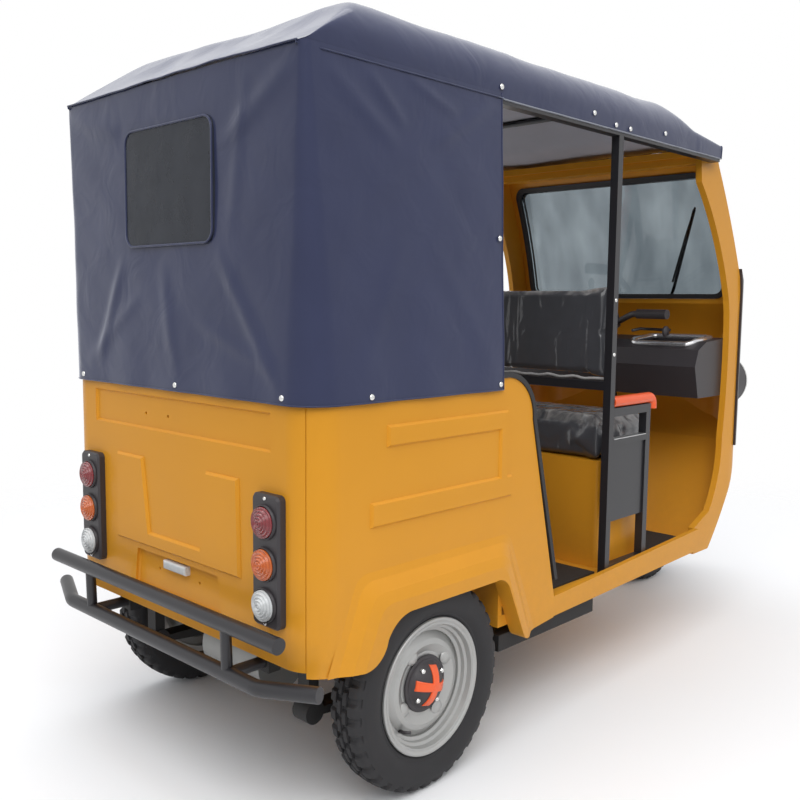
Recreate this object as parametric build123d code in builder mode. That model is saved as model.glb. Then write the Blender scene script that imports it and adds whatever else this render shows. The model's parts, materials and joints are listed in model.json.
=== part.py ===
"""Electric three-wheeled passenger cart: open sided cabin, folding canopy, handlebar steering."""
import os
from math import cos, radians, sin

from build123d import *

os.makedirs("parts", exist_ok=True)

# Frame: +X forward, +Y to the left, +Z up, origin on the ground under the middle of the cart.
# Sizes are in millimetres.

# Wheels and stance
WHEELBASE = 1950
TYRE_R = 257
TYRE_HALF_W = 52
RIM_FLANGE_R = 166
TRACK_SET_IN = 42
LUG_COUNT = 36
LUG_SLOT_W = 12
LUG_DEPTH = 9
LUG_REACH = 36
BUMPER_TUBE_R = 18
BUMPER_STANDOFF = 49
MUDGUARD_GAP = 24
MUDGUARD_T = 5

# Body tub
BODY_HALF_W = 508
WALL = 21
BODY_TOP_Z = 985
REAR_FACE = 379
CORNER_R = 82
FLARE = 27
FLOOR_Z = 352
FLOOR_T = 30
BENCH_FRONT = 300
PANEL_T = 16
SEAM = 2
SEAT_GAP = 0.3

# Canopy
CANOPY_T = 4
CANOPY_SET_IN = 17
CANOPY_CORNER_R = 18
HEM_LAP = 28
ROOF_TOP_Z = 1820
CANOPY_DEPTH = 148
SHOULDER_R = 118
CURTAIN_FRONT = 250
RAIL = 30
RAIL_CORNER_R = 44
POST = 25

# Cowl
COWL_SET_IN = 20
COWL_WALL = 22
COWL_DROP = 120
COWL_LOW_Z = 304
BELT_SHARE = 0.6347
DASH_DROP = 134
POD_DROP = 306
COWL_CORNER_R = 150
FASCIA_T = 8

# Lamps on the rear panel
LAMP_SET_IN = 128
LAMP_W = 92
LAMP_H = 292

# Steering
RAKE = 23
FORK_OFFSET = 60
LEG_R = 20
LEG_Y = 84
STEM_R = 18
CROWN_S = 300

# Places that follow from the sizes above
FRONT_OVERHANG = TYRE_R + MUDGUARD_GAP + MUDGUARD_T
REAR_OVERHANG = REAR_FACE + BUMPER_STANDOFF + 2 * BUMPER_TUBE_R
REAR_AXLE_X = REAR_OVERHANG - (REAR_OVERHANG + WHEELBASE + FRONT_OVERHANG) / 2
FRONT_AXLE_X = REAR_AXLE_X + WHEELBASE
REAR_TRACK_HALF = BODY_HALF_W - TRACK_SET_IN
CANOPY_HALF_W = BODY_HALF_W - CANOPY_SET_IN
COWL_HALF_W = BODY_HALF_W - COWL_SET_IN
HEM_Z = BODY_TOP_Z - HEM_LAP
EAVES_Z = ROOF_TOP_Z - CANOPY_DEPTH
COWL_TOP_Z = ROOF_TOP_Z - COWL_DROP
COWL_BELT_Z = round(COWL_LOW_Z + BELT_SHARE * (COWL_TOP_Z - COWL_LOW_Z))
DASH_TOP_Z = COWL_BELT_Z - DASH_DROP
LAMP_Y = BODY_HALF_W - LAMP_SET_IN
RAIL_OUT = CANOPY_HALF_W - CANOPY_T - SEAT_GAP
COWL_HALF_W_TOP = RAIL_OUT - RAIL - SEAT_GAP
INNER_HALF_W = BODY_HALF_W - WALL
SIDE_FAR = BODY_HALF_W + 200


def rear(ahead):
    """X of a point a given way ahead of the rear axle."""
    return REAR_AXLE_X + ahead


def front(behind):
    """X of a point a given way behind the front axle."""
    return FRONT_AXLE_X - behind


REAR_X = rear(-REAR_FACE)
POST_X = front(1125)
GUARD_X = front(890)
COWL_BACK_X = front(550)
SILL_X = rear(512)


def save(builder, name):
    builder.part.label = name
    export_step(builder.part, f"parts/{name}.step")


def trace(start, *steps):
    """Closed outline; a step is the end of a line, or a through point and the end of an arc."""
    at = start
    for step in steps:
        if isinstance(step[0], tuple):
            ThreePointArc(at, step[0], step[1])
            at = step[1]
        else:
            Line(at, step)
            at = step
    Line(at, start)


def grown(outline, grow):
    """The same outline with every point moved outward, square to its neighbours."""
    flat = []
    for step in outline:
        flat.extend(step if isinstance(step[0], tuple) else (step,))
    area = sum(a[0] * b[1] - b[0] * a[1] for a, b in zip(flat, flat[1:] + flat[:1]))
    turn = 1 if area > 0 else -1
    moved = []
    for index, point in enumerate(flat):
        last, after = flat[index - 1], flat[(index + 1) % len(flat)]
        way_in = Vector(point[0] - last[0], point[1] - last[1]).normalized()
        way_out = Vector(after[0] - point[0], after[1] - point[1]).normalized()
        out_in = Vector(way_in.Y, -way_in.X) * turn
        out_out = Vector(way_out.Y, -way_out.X) * turn
        shift = (out_in + out_out) * (grow / (1 + out_in.dot(out_out)))
        moved.append((point[0] + shift.X, point[1] + shift.Y))
    result = []
    for step in outline:
        if isinstance(step[0], tuple):
            result.append((moved.pop(0), moved.pop(0)))
        else:
            result.append(moved.pop(0))
    return tuple(result)


def side_slab(outline, y_from, y_to):
    """Solid with a side view outline, between two Y places."""
    with BuildPart() as slab:
        with BuildSketch(Plane.XZ.offset(-max(y_from, y_to))):
            with BuildLine():
                trace(*outline)
            make_face()
        extrude(amount=abs(y_to - y_from))
    return slab.part


def pad(plane, outlines, height, bevel):
    """Block on a plane with its far edges bevelled."""
    with BuildPart() as block:
        with BuildSketch(plane):
            for outline in outlines:
                with BuildLine():
                    trace(*outline)
                make_face()
        extrude(amount=height)
        far_face = block.faces().sort_by(Axis(plane.origin, plane.z_dir))[-1]
        chamfer(far_face.edges(), bevel)
    return block.part


def box_outline(x0, x1, z0, z1):
    return ((x0, z0), (x1, z0), (x1, z1), (x0, z1))


def box_between(x0, x1, y0, y1, z0, z1, mode=Mode.ADD):
    with Locations(((x0 + x1) / 2, (y0 + y1) / 2, (z0 + z1) / 2)):
        Box(x1 - x0, y1 - y0, z1 - z0, mode=mode)


def rod(start, end, radius, mode=Mode.ADD):
    """Round bar between two points."""
    way = Vector(*end) - Vector(*start)
    with Locations(Plane(origin=start, z_dir=way)):
        Cylinder(radius, way.length, align=(Align.CENTER, Align.CENTER, Align.MIN), mode=mode)


def tub_plan(half_w, rear_x, front_x, corner):
    """Plan outline: square in front, round at both rear corners."""
    turn = corner * (1 - cos(radians(45)))
    trace(
        (front_x, -half_w),
        (front_x, half_w),
        (rear_x + corner, half_w),
        ((rear_x + turn, half_w - turn), (rear_x, half_w - corner)),
        (rear_x, -half_w + corner),
        ((rear_x + turn, -half_w + turn), (rear_x + corner, -half_w)),
    )


def tub_block(half_w, rear_x, front_x, corner, z0, z1):
    with BuildPart() as block:
        with BuildSketch(Plane.XY.offset(z0)):
            with BuildLine():
                tub_plan(half_w, rear_x, front_x, corner)
            make_face()
        extrude(amount=z1 - z0)
    return block.part


# Tub: rear panel and two quarter panels cut from one round-cornered wall

QUARTER_LOW_Z = 368
REAR_LOW_Z = 385
ARCH_TOP_Z = 474
SEAM_Y = BODY_HALF_W - CORNER_R + 46

tub_outer = tub_block(BODY_HALF_W, REAR_X, SILL_X, CORNER_R, COWL_LOW_Z - 40, BODY_TOP_Z)
tub_inner = tub_block(
    INNER_HALF_W, REAR_X + WALL, SILL_X + 50, CORNER_R - WALL, COWL_LOW_Z - 90, BODY_TOP_Z + 50
)

U_HALF = LAMP_Y - LAMP_W / 2 - 66
U_LEFT = ((-0.41 * U_HALF, 589), (-0.51 * U_HALF, 778), (-0.98 * U_HALF, 778))
RAISED_U = (
    (-U_HALF, 550), (U_HALF, 550), *((-y, z) for y, z in reversed(U_LEFT)), *U_LEFT,
)
BAND_HALF = BODY_HALF_W - 133
UPPER_BAND = box_outline(-BAND_HALF, BAND_HALF, 850, 936)
PLATE_POCKET = ((-190, 440), (190, 440), (175, 536), (-175, 536))
PLATE_HOLES = ((87.5, 497), (-87.5, 497))
UPPER_HOLES = ((132, 889), (32, 889))
HOLE_R = 4

with BuildPart() as rear_panel:
    add(tub_outer)
    add(tub_inner, mode=Mode.SUBTRACT)
    box_between(REAR_X - 50, REAR_X + 100, -SEAM_Y, SEAM_Y, REAR_LOW_Z, BODY_TOP_Z + 1, Mode.INTERSECT)
    # Raised U in the middle of the panel
    add(pad(Plane(origin=(REAR_X + 1, 0, 0), x_dir=(0, -1, 0), z_dir=(-1, 0, 0)), (RAISED_U,), 8, 6))
    # Shallow band under the canopy hem, and the pocket for the number plate
    into_panel = Plane(origin=(REAR_X - 1, 0, 0), x_dir=(0, 1, 0), z_dir=(1, 0, 0))
    add(pad(into_panel, (UPPER_BAND,), 7, 5), mode=Mode.SUBTRACT)
    add(pad(into_panel, (PLATE_POCKET,), 12, 4), mode=Mode.SUBTRACT)
    for hole_y, hole_z in PLATE_HOLES + UPPER_HOLES:
        rod((REAR_X - 20, hole_y, hole_z), (REAR_X + WALL + 20, hole_y, hole_z), HOLE_R, Mode.SUBTRACT)
save(rear_panel, "rear_panel")

QUARTER_OUTLINE = (
    (rear(-460), BODY_TOP_Z),
    (rear(265), BODY_TOP_Z),
    ((rear(346), BODY_TOP_Z - 24), (rear(388), BODY_TOP_Z - 115)),
    (SILL_X, FLOOR_Z + 6),
    (SILL_X, 301),
    (rear(376), 289),
    ((rear(347), 291), (rear(333), 308)),
    (rear(272), 440),
    ((rear(251), ARCH_TOP_Z - 8), (rear(212), ARCH_TOP_Z)),
    (rear(-100), ARCH_TOP_Z),
    ((rear(-146), ARCH_TOP_Z - 16), (rear(-176), ARCH_TOP_Z - 50)),
    ((rear(-200), QUARTER_LOW_Z + 16), (rear(-246), QUARTER_LOW_Z)),
    (rear(-460), QUARTER_LOW_Z + 8),
)
FLARE_FOOT = ((-400, 200), (-250, 585), (302, 585), (464, 200))
FLARE_LIP = ((-318, 200), (-190, 506), (254, 506), (378, 200))
FLARE_SKIN = 11
SIDE_RIBS = (
    box_outline(rear(-160), rear(280), 853, 903),
    box_outline(rear(-210), rear(300), 678, 735),
    box_outline(rear(246), rear(280), 700, 880),
)

# Swollen lip round the wheel arch: run and rise of its slope, from the wall to the lip
FLARE_STEPS = ((0, 0), (0.3, 0.16), (0.66, 0.74), (1, 1))
with BuildPart() as arch_flare:
    flare_faces = []
    for run, rise in FLARE_STEPS:
        ring = [
            (rear(a[0] + run * (b[0] - a[0])), a[1] + run * (b[1] - a[1]))
            for a, b in zip(FLARE_FOOT, FLARE_LIP)
        ]
        with BuildSketch(Plane.XZ.offset(BODY_HALF_W - 1 + rise * (FLARE + 1)), mode=Mode.PRIVATE) as section:
            with BuildLine():
                Polyline(*ring, close=True)
            make_face()
            fillet(section.vertices(), 45)
        flare_faces.append(section.sketch.face())
    loft(flare_faces, ruled=True)

with BuildPart() as right_quarter_panel:
    add(tub_outer)
    add(tub_inner, mode=Mode.SUBTRACT)
    box_between(
        REAR_X - 50, SILL_X, -BODY_HALF_W - 50, -SEAM_Y - SEAM, COWL_LOW_Z - 50, BODY_TOP_Z + 1,
        Mode.INTERSECT,
    )
    add(arch_flare.part)
    # Two pressed ribs that join at their front ends
    add(pad(Plane.XZ.offset(BODY_HALF_W - 1), SIDE_RIBS, 7, 5.5))
    add(side_slab(QUARTER_OUTLINE, -BODY_HALF_W - 100, 0), mode=Mode.INTERSECT)
    # Room for the wheel behind the lip
    rod(
        (REAR_AXLE_X, -REAR_TRACK_HALF + 100, TYRE_R),
        (REAR_AXLE_X, -BODY_HALF_W - FLARE + FLARE_SKIN, TYRE_R),
        TYRE_R + 22,
        Mode.SUBTRACT,
    )
save(right_quarter_panel, "right_quarter_panel")

with BuildPart() as left_quarter_panel:
    mirror(right_quarter_panel.part, about=Plane.XZ)
save(left_quarter_panel, "left_quarter_panel")

# Rubber edging on the front edges of the quarter panels
EDGE_W = 13
edge_inner = (
    (rear(230), BODY_TOP_Z + SEAT_GAP),
    (rear(265), BODY_TOP_Z + SEAT_GAP),
    ((rear(346) + 0.2, BODY_TOP_Z - 24 + 0.2), (rear(388) + SEAT_GAP, BODY_TOP_Z - 115)),
    (SILL_X + SEAT_GAP, FLOOR_Z + 40),
    (rear(230), FLOOR_Z + 40),
)
with BuildPart() as door_edge_trims:
    with BuildSketch(Plane.XZ.offset(INNER_HALF_W - 4)):
        with BuildLine():
            trace(*edge_inner)
        make_face()
        offset(amount=EDGE_W, kind=Kind.ARC)
        with BuildLine():
            trace(*edge_inner)
        make_face(mode=Mode.SUBTRACT)
    extrude(amount=WALL + 8)
    box_between(rear(256), SILL_X + 60, -SIDE_FAR, 0, FLOOR_Z + 58, BODY_TOP_Z + 100, Mode.INTERSECT)
    mirror(about=Plane.XZ)
save(door_edge_trims, "door_edge_trims")

# Floor

with BuildPart() as floor_pan:
    box_between(
        rear(BENCH_FRONT) - PANEL_T, COWL_BACK_X - SEAT_GAP,
        -INNER_HALF_W + SEAT_GAP, INNER_HALF_W - SEAT_GAP, FLOOR_Z - FLOOR_T, FLOOR_Z,
    )
    sill_outline = (
        (SILL_X + SEAT_GAP, 301),
        (COWL_BACK_X - SEAT_GAP, 322),
        (COWL_BACK_X - SEAT_GAP, 397),
        (SILL_X + SEAT_GAP, FLOOR_Z + 6),
    )
    add(side_slab(sill_outline, -BODY_HALF_W + 4, -INNER_HALF_W + 0.1))
    add(side_slab(sill_outline, INNER_HALF_W - 0.1, BODY_HALF_W - 4))
    for side in (-1, 1):
        y_pair = sorted((side * (INNER_HALF_W - 6), side * (INNER_HALF_W + 4)))
        box_between(
            SILL_X + 5, COWL_BACK_X - 5, y_pair[0], y_pair[1], FLOOR_Z - FLOOR_T, FLOOR_Z,
        )
save(floor_pan, "floor_pan")

MAT_T = 6
SEAT_BOX_X0 = POST_X + POST / 2 + 22
SEAT_BOX_X1 = SEAT_BOX_X0 + 300
MAT_HALF_W = RAIL_OUT - POST - 8
with BuildPart() as floor_mat:
    box_between(
        rear(BENCH_FRONT) + 6, SEAT_BOX_X0 - 50, -MAT_HALF_W, MAT_HALF_W, FLOOR_Z + 0.1, FLOOR_Z + MAT_T,
    )
    box_between(
        SEAT_BOX_X1 + 4, COWL_BACK_X - 4, -MAT_HALF_W, MAT_HALF_W, FLOOR_Z + 0.1, FLOOR_Z + MAT_T,
    )
save(floor_mat, "floor_mat")

# Passenger bench

DECK_Z = 600
with BuildPart() as passenger_seat_base:
    box_between(
        REAR_X + CORNER_R + 2, rear(BENCH_FRONT), -INNER_HALF_W + SEAT_GAP, INNER_HALF_W - SEAT_GAP,
        DECK_Z - PANEL_T, DECK_Z,
    )
    box_between(
        rear(BENCH_FRONT) - PANEL_T, rear(BENCH_FRONT), -INNER_HALF_W + SEAT_GAP, INNER_HALF_W - SEAT_GAP,
        FLOOR_Z + SEAT_GAP, DECK_Z,
    )
    box_between(
        REAR_X + WALL + SEAT_GAP, REAR_X + CORNER_R + 4, -INNER_HALF_W + 70, INNER_HALF_W - 70,
        DECK_Z - PANEL_T, DECK_Z,
    )
save(passenger_seat_base, "passenger_seat_base")

CUSHION_HALF_W = INNER_HALF_W - 39
BENCH_CUSHION_T = 120
BENCH_BACK_T = 95
with BuildPart() as passenger_cushion:
    box_between(
        REAR_X + WALL + 90, rear(BENCH_FRONT + 22), -CUSHION_HALF_W, CUSHION_HALF_W,
        DECK_Z + SEAT_GAP, DECK_Z + BENCH_CUSHION_T,
    )
    fillet(passenger_cushion.edges().group_by(Axis.Z)[-1], 35)
save(passenger_cushion, "passenger_cushion")

BACK_Z0 = DECK_Z + BENCH_CUSHION_T + 4
with BuildPart() as passenger_backrest:
    box_between(
        REAR_X + WALL + SEAT_GAP, REAR_X + WALL + BENCH_BACK_T, -CUSHION_HALF_W + 20, CUSHION_HALF_W - 20,
        BACK_Z0, BACK_Z0 + 420,
    )
    fillet(passenger_backrest.edges().group_by(Axis.X)[-1], 30)
save(passenger_backrest, "passenger_backrest")

# Driver seat

SEAT_BOX_HALF_W = RAIL_OUT - 58
SEAT_BOX_Z = 690
SEAT_CUSHION_T = 128
with BuildPart() as driver_seat_box:
    box_between(
        SEAT_BOX_X0, SEAT_BOX_X1, -SEAT_BOX_HALF_W, SEAT_BOX_HALF_W, FLOOR_Z + SEAT_GAP, SEAT_BOX_Z,
    )
    fillet(driver_seat_box.edges().filter_by(Axis.Z), 18)
save(driver_seat_box, "driver_seat_box")

with BuildPart() as driver_cushion:
    box_between(
        SEAT_BOX_X0 - 10, SEAT_BOX_X1 + 15, -SEAT_BOX_HALF_W - 4, SEAT_BOX_HALF_W + 4,
        SEAT_BOX_Z + SEAT_GAP, SEAT_BOX_Z + SEAT_CUSHION_T,
    )
    fillet(driver_cushion.edges().group_by(Axis.Z)[-1], 32)
save(driver_cushion, "driver_cushion")

BAR_Z = 930
BACKREST_TOP_Z = 1234
BACKREST_HALF_W = RAIL_OUT - 14
BACKREST_T = 70
with BuildPart() as driver_backrest:
    box_between(
        POST_X + POST / 2 + SEAT_GAP, POST_X + POST / 2 + BACKREST_T, -BACKREST_HALF_W, BACKREST_HALF_W,
        BAR_Z + POST / 2 + SEAT_GAP, BACKREST_TOP_Z,
    )
    fillet(driver_backrest.edges().filter_by(Axis.Y, reverse=True), 24)
save(driver_backrest, "driver_backrest")

# Canopy frame

RAIL_TOP_Z = COWL_TOP_Z - 10
RAIL_FRONT_X = front(478)
RAIL_SET_IN = 42
CANOPY_REAR_X = REAR_X - CANOPY_T - 1
with BuildPart() as roof_rails:
    add(
        tub_block(
            RAIL_OUT, CANOPY_REAR_X + RAIL_SET_IN, RAIL_FRONT_X,
            RAIL_CORNER_R, RAIL_TOP_Z - RAIL, RAIL_TOP_Z,
        )
    )
    add(
        tub_block(
            RAIL_OUT - RAIL, CANOPY_REAR_X + RAIL_SET_IN + RAIL, RAIL_FRONT_X + 50,
            RAIL_CORNER_R - RAIL, RAIL_TOP_Z - RAIL - 10, RAIL_TOP_Z + 10,
        ),
        mode=Mode.SUBTRACT,
    )
save(roof_rails, "roof_rails")

BOW_R = 10
BOW_BEND = SHOULDER_R - CANOPY_T - SEAT_GAP - BOW_R
BOW_Y = CANOPY_HALF_W - CANOPY_T - SEAT_GAP - BOW_R
BOW_SPRING_Z = ROOF_TOP_Z - SHOULDER_R
REAR_BOW_X = rear(-190)
FRONT_BOW_X = front(825)
BOW_PLACES = (REAR_BOW_X + 25, rear(CURTAIN_FRONT - 5), POST_X, FRONT_BOW_X - 25)
with BuildPart() as roof_bows:
    for bow_x in BOW_PLACES:
        with BuildLine(Plane(origin=(bow_x, 0, 0), x_dir=(0, 1, 0), z_dir=(1, 0, 0))) as hoop:
            FilletPolyline(
                (-BOW_Y, RAIL_TOP_Z),
                (-BOW_Y, BOW_SPRING_Z + BOW_BEND),
                (BOW_Y, BOW_SPRING_Z + BOW_BEND),
                (BOW_Y, RAIL_TOP_Z),
                radius=BOW_BEND,
            )
        with BuildSketch(Plane(origin=(bow_x, -BOW_Y, RAIL_TOP_Z))):
            Circle(BOW_R)
        sweep(path=hoop.wire())
save(roof_bows, "roof_bows")

POST_FOOT_Z = 760
REAR_POST_PLACES = (rear(-272), rear(CURTAIN_FRONT - RAIL / 2 - 2))
with BuildPart() as rear_posts:
    for side in (-1, 1):
        for post_x in REAR_POST_PLACES:
            with Locations((post_x, side * (RAIL_OUT - RAIL / 2), (POST_FOOT_Z + RAIL_TOP_Z - RAIL) / 2)):
                Box(RAIL, RAIL, RAIL_TOP_Z - RAIL - POST_FOOT_Z)
save(rear_posts, "rear_posts")

with BuildPart() as partition_frame:
    for side in (-1, 1):
        with Locations((POST_X, side * (RAIL_OUT - POST / 2), (FLOOR_Z + RAIL_TOP_Z - RAIL) / 2)):
            Box(POST, POST, RAIL_TOP_Z - RAIL - FLOOR_Z)
    with Locations((POST_X, 0, BAR_Z)):
        Box(POST, 2 * RAIL_OUT - 2 * POST + 2, POST)
save(partition_frame, "partition_frame")

GUARD_TUBE = 26
GUARD_TOP_Z = 862
GUARD_PANEL = (512, 766)
GUARD_BACK_X = POST_X + POST / 2 + SEAT_GAP
GUARD_IN = RAIL_OUT - GUARD_TUBE
with BuildPart() as side_guards:
    box_between(GUARD_BACK_X, GUARD_X, GUARD_IN, RAIL_OUT, FLOOR_Z, FLOOR_Z + GUARD_TUBE)
    box_between(GUARD_BACK_X, GUARD_X, GUARD_IN, RAIL_OUT, GUARD_TOP_Z - GUARD_TUBE, GUARD_TOP_Z)
    box_between(GUARD_X - GUARD_TUBE, GUARD_X, GUARD_IN, RAIL_OUT, FLOOR_Z, GUARD_TOP_Z)
    box_between(GUARD_BACK_X, GUARD_X, RAIL_OUT - 16, RAIL_OUT - 6, GUARD_PANEL[0], GUARD_PANEL[1])
    box_between(GUARD_BACK_X, GUARD_X, GUARD_IN, RAIL_OUT, GUARD_PANEL[1] - 18, GUARD_PANEL[1])
    mirror(about=Plane.XZ)
save(side_guards, "side_guards")

HANDRAIL_R = 17
with BuildPart() as handrails:
    with BuildLine(Plane.XZ.offset(RAIL_OUT - GUARD_TUBE / 2)) as grip_line:
        FilletPolyline(
            (GUARD_BACK_X + 2, GUARD_TOP_Z + HANDRAIL_R + SEAT_GAP),
            (GUARD_X + HANDRAIL_R + 8, GUARD_TOP_Z + HANDRAIL_R + SEAT_GAP),
            (GUARD_X + HANDRAIL_R + 8, GUARD_TOP_Z - 18),
            radius=20,
        )
    with BuildSketch(
        Plane(
            origin=(GUARD_BACK_X + 2, -RAIL_OUT + GUARD_TUBE / 2, GUARD_TOP_Z + HANDRAIL_R + SEAT_GAP),
            z_dir=(1, 0, 0),
        )
    ):
        Circle(HANDRAIL_R)
    sweep(path=grip_line.wire())
    mirror(about=Plane.XZ)
save(handrails, "handrails")

# Canopy

ROOF_FRONT_X = front(472)
ROOF_FRONT_FALL = COWL_TOP_Z + 12
ROOF_DIP = (150, 80)


def roof_block(skin):
    """Closed loaf under the roof skin; skin is how far it lies inside the outer face."""
    half_w = CANOPY_HALF_W - skin
    top_z = ROOF_TOP_Z - skin
    spring_z = ROOF_TOP_Z - SHOULDER_R
    bend = SHOULDER_R - skin
    turn = bend * sin(radians(45))
    with BuildPart() as loaf:
        with BuildSketch(Plane.YZ.offset(CANOPY_REAR_X - 50)):
            with BuildLine():
                trace(
                    (-half_w, EAVES_Z - 1 if skin else EAVES_Z),
                    (half_w, EAVES_Z - 1 if skin else EAVES_Z),
                    (half_w, spring_z),
                    ((half_w - bend + turn, spring_z + turn), (half_w - bend, top_z)),
                    (-half_w + bend, top_z),
                    ((-half_w + bend - turn, spring_z + turn), (-half_w, spring_z)),
                )
            make_face()
        extrude(amount=ROOF_FRONT_X - CANOPY_REAR_X + 100)
        fall = (
            (CANOPY_REAR_X + skin, EAVES_Z - 2),
            (ROOF_FRONT_X - skin, EAVES_Z - 2),
            (ROOF_FRONT_X - skin, ROOF_FRONT_FALL - 0.4 * skin),
            (FRONT_BOW_X + ROOF_DIP[0] - 0.15 * skin, ROOF_TOP_Z - ROOF_DIP[1] - 1.04 * skin),
            (FRONT_BOW_X - 0.2 * skin, top_z),
            (REAR_BOW_X + 0.4 * skin, top_z),
            (CANOPY_REAR_X + skin, EAVES_Z + 8 - 0.5 * skin),
        )
        add(side_slab(fall, -SIDE_FAR, SIDE_FAR), mode=Mode.INTERSECT)
        add(
            tub_block(
                half_w, CANOPY_REAR_X + skin, ROOF_FRONT_X + 60, CANOPY_CORNER_R - skin, 0, ROOF_TOP_Z + 50
            ),
            mode=Mode.INTERSECT,
        )
    return loaf.part


with BuildPart() as canopy_roof:
    add(roof_block(0))
    add(roof_block(CANOPY_T), mode=Mode.SUBTRACT)
    # The front hem lies on the cowl header, so the end is open below it
    box_between(
        ROOF_FRONT_X - 120, ROOF_FRONT_X + 10, -RAIL_OUT, RAIL_OUT, EAVES_Z - 10, COWL_TOP_Z + SEAT_GAP,
        Mode.SUBTRACT,
    )
save(canopy_roof, "canopy_roof")


def curtain_block(skin, z_low, z_high):
    """Leaning wall block from the hem to the eaves."""
    lean = BODY_HALF_W + CANOPY_T + 1.5
    with BuildPart() as block:
        with BuildSketch(Plane.XY.offset(HEM_Z + z_low)) as low:
            with BuildLine():
                tub_plan(lean - skin, CANOPY_REAR_X - 1 + skin, rear(CURTAIN_FRONT), CORNER_R - skin)
            make_face()
        with BuildSketch(Plane.XY.offset(EAVES_Z + z_high)) as high:
            with BuildLine():
                tub_plan(
                    CANOPY_HALF_W - skin, CANOPY_REAR_X + skin, rear(CURTAIN_FRONT), CANOPY_CORNER_R - skin
                )
            make_face()
        loft([low.sketch.face(), high.sketch.face()], ruled=True)
    return block.part


WINDOW = (0, EAVES_Z - 232, 372, 284, 32)
CURTAIN_SEAM_Y = BODY_HALF_W - CORNER_R - 4
with BuildPart() as curtain_wall:
    add(curtain_block(0, 0, 0))
    add(curtain_block(CANOPY_T, 0, 0), mode=Mode.SUBTRACT)
    box_between(
        rear(CURTAIN_FRONT) - 0.01, rear(CURTAIN_FRONT) + 50, -SIDE_FAR, SIDE_FAR, 0, ROOF_TOP_Z,
        Mode.SUBTRACT,
    )

with BuildPart() as canopy_rear:
    add(curtain_wall.part)
    box_between(
        REAR_X - 60, REAR_X + 60, -CURTAIN_SEAM_Y, CURTAIN_SEAM_Y, HEM_Z - 10, EAVES_Z + 10, Mode.INTERSECT
    )
    with BuildSketch(Plane.YZ.offset(REAR_X - 60)):
        with Locations((WINDOW[0], WINDOW[1])):
            RectangleRounded(WINDOW[2], WINDOW[3], WINDOW[4])
    extrude(amount=120, mode=Mode.SUBTRACT)
save(canopy_rear, "canopy_rear")

with BuildPart() as rear_window:
    add(curtain_wall.part)
    with BuildSketch(Plane.YZ.offset(REAR_X - 60)):
        with Locations((WINDOW[0], WINDOW[1])):
            RectangleRounded(WINDOW[2] - 2 * SEAT_GAP, WINDOW[3] - 2 * SEAT_GAP, WINDOW[4] - SEAT_GAP)
    extrude(amount=120, mode=Mode.INTERSECT)
save(rear_window, "rear_window")

with BuildPart() as canopy_sides:
    add(curtain_wall.part)
    box_between(
        REAR_X - 60, rear(CURTAIN_FRONT) + 60, -CURTAIN_SEAM_Y - SEAT_GAP, CURTAIN_SEAM_Y + SEAT_GAP,
        HEM_Z - 10, EAVES_Z + 10, Mode.SUBTRACT,
    )
save(canopy_sides, "canopy_sides")

# Front cowl: side view, plan and front view outlines cut from one another


COWL_NOSE_X = front(108)
COWL_TURN_X = front(290)


def cowl_block(grow, back_x):
    """Closed nose block; grow moves every face outward."""
    bend = COWL_CORNER_R * sin(radians(45))
    side_view = (
        (back_x, COWL_LOW_Z),
        (back_x, COWL_TOP_Z),
        (front(440), COWL_TOP_Z),
        ((front(322), COWL_BELT_Z + 0.533 * (COWL_TOP_Z - COWL_BELT_Z)), (front(228), COWL_BELT_Z)),
        ((front(142), 1050), (front(112), 900)),
        ((front(132), 770), (front(198), 660)),
        ((front(288), 493), (front(436), COWL_LOW_Z)),
    )
    plan_view = (
        (back_x - 50, -COWL_HALF_W),
        (COWL_TURN_X, -COWL_HALF_W),
        (
            (COWL_TURN_X + bend, -COWL_HALF_W + COWL_CORNER_R - bend),
            (COWL_TURN_X + COWL_CORNER_R, -COWL_HALF_W + COWL_CORNER_R),
        ),
        ((COWL_NOSE_X, 0), (COWL_TURN_X + COWL_CORNER_R, COWL_HALF_W - COWL_CORNER_R)),
        (
            (COWL_TURN_X + bend, COWL_HALF_W - COWL_CORNER_R + bend),
            (COWL_TURN_X, COWL_HALF_W),
        ),
        (back_x - 50, COWL_HALF_W),
    )
    front_view = (
        (-COWL_HALF_W, COWL_LOW_Z - 100),
        (COWL_HALF_W, COWL_LOW_Z - 100),
        (COWL_HALF_W, COWL_BELT_Z - 40),
        (COWL_HALF_W_TOP, COWL_TOP_Z - RAIL - 14),
        (COWL_HALF_W_TOP, COWL_TOP_Z + 60),
        (-COWL_HALF_W_TOP, COWL_TOP_Z + 60),
        (-COWL_HALF_W_TOP, COWL_TOP_Z - RAIL - 14),
        (-COWL_HALF_W, COWL_BELT_Z - 40),
    )
    with BuildPart() as block:
        with BuildSketch(Plane.XZ):
            with BuildLine():
                trace(*grown(side_view, grow))
            make_face()
        extrude(amount=SIDE_FAR, both=True)
        with BuildSketch(Plane.XY):
            with BuildLine():
                trace(*grown(plan_view, grow))
            make_face()
        extrude(amount=COWL_TOP_Z + 100, mode=Mode.INTERSECT)
        with BuildSketch(Plane.YZ.offset(back_x - 300)):
            with BuildLine():
                trace(*grown(front_view, grow))
            make_face()
        extrude(amount=1500, mode=Mode.INTERSECT)
    return block.part


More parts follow.
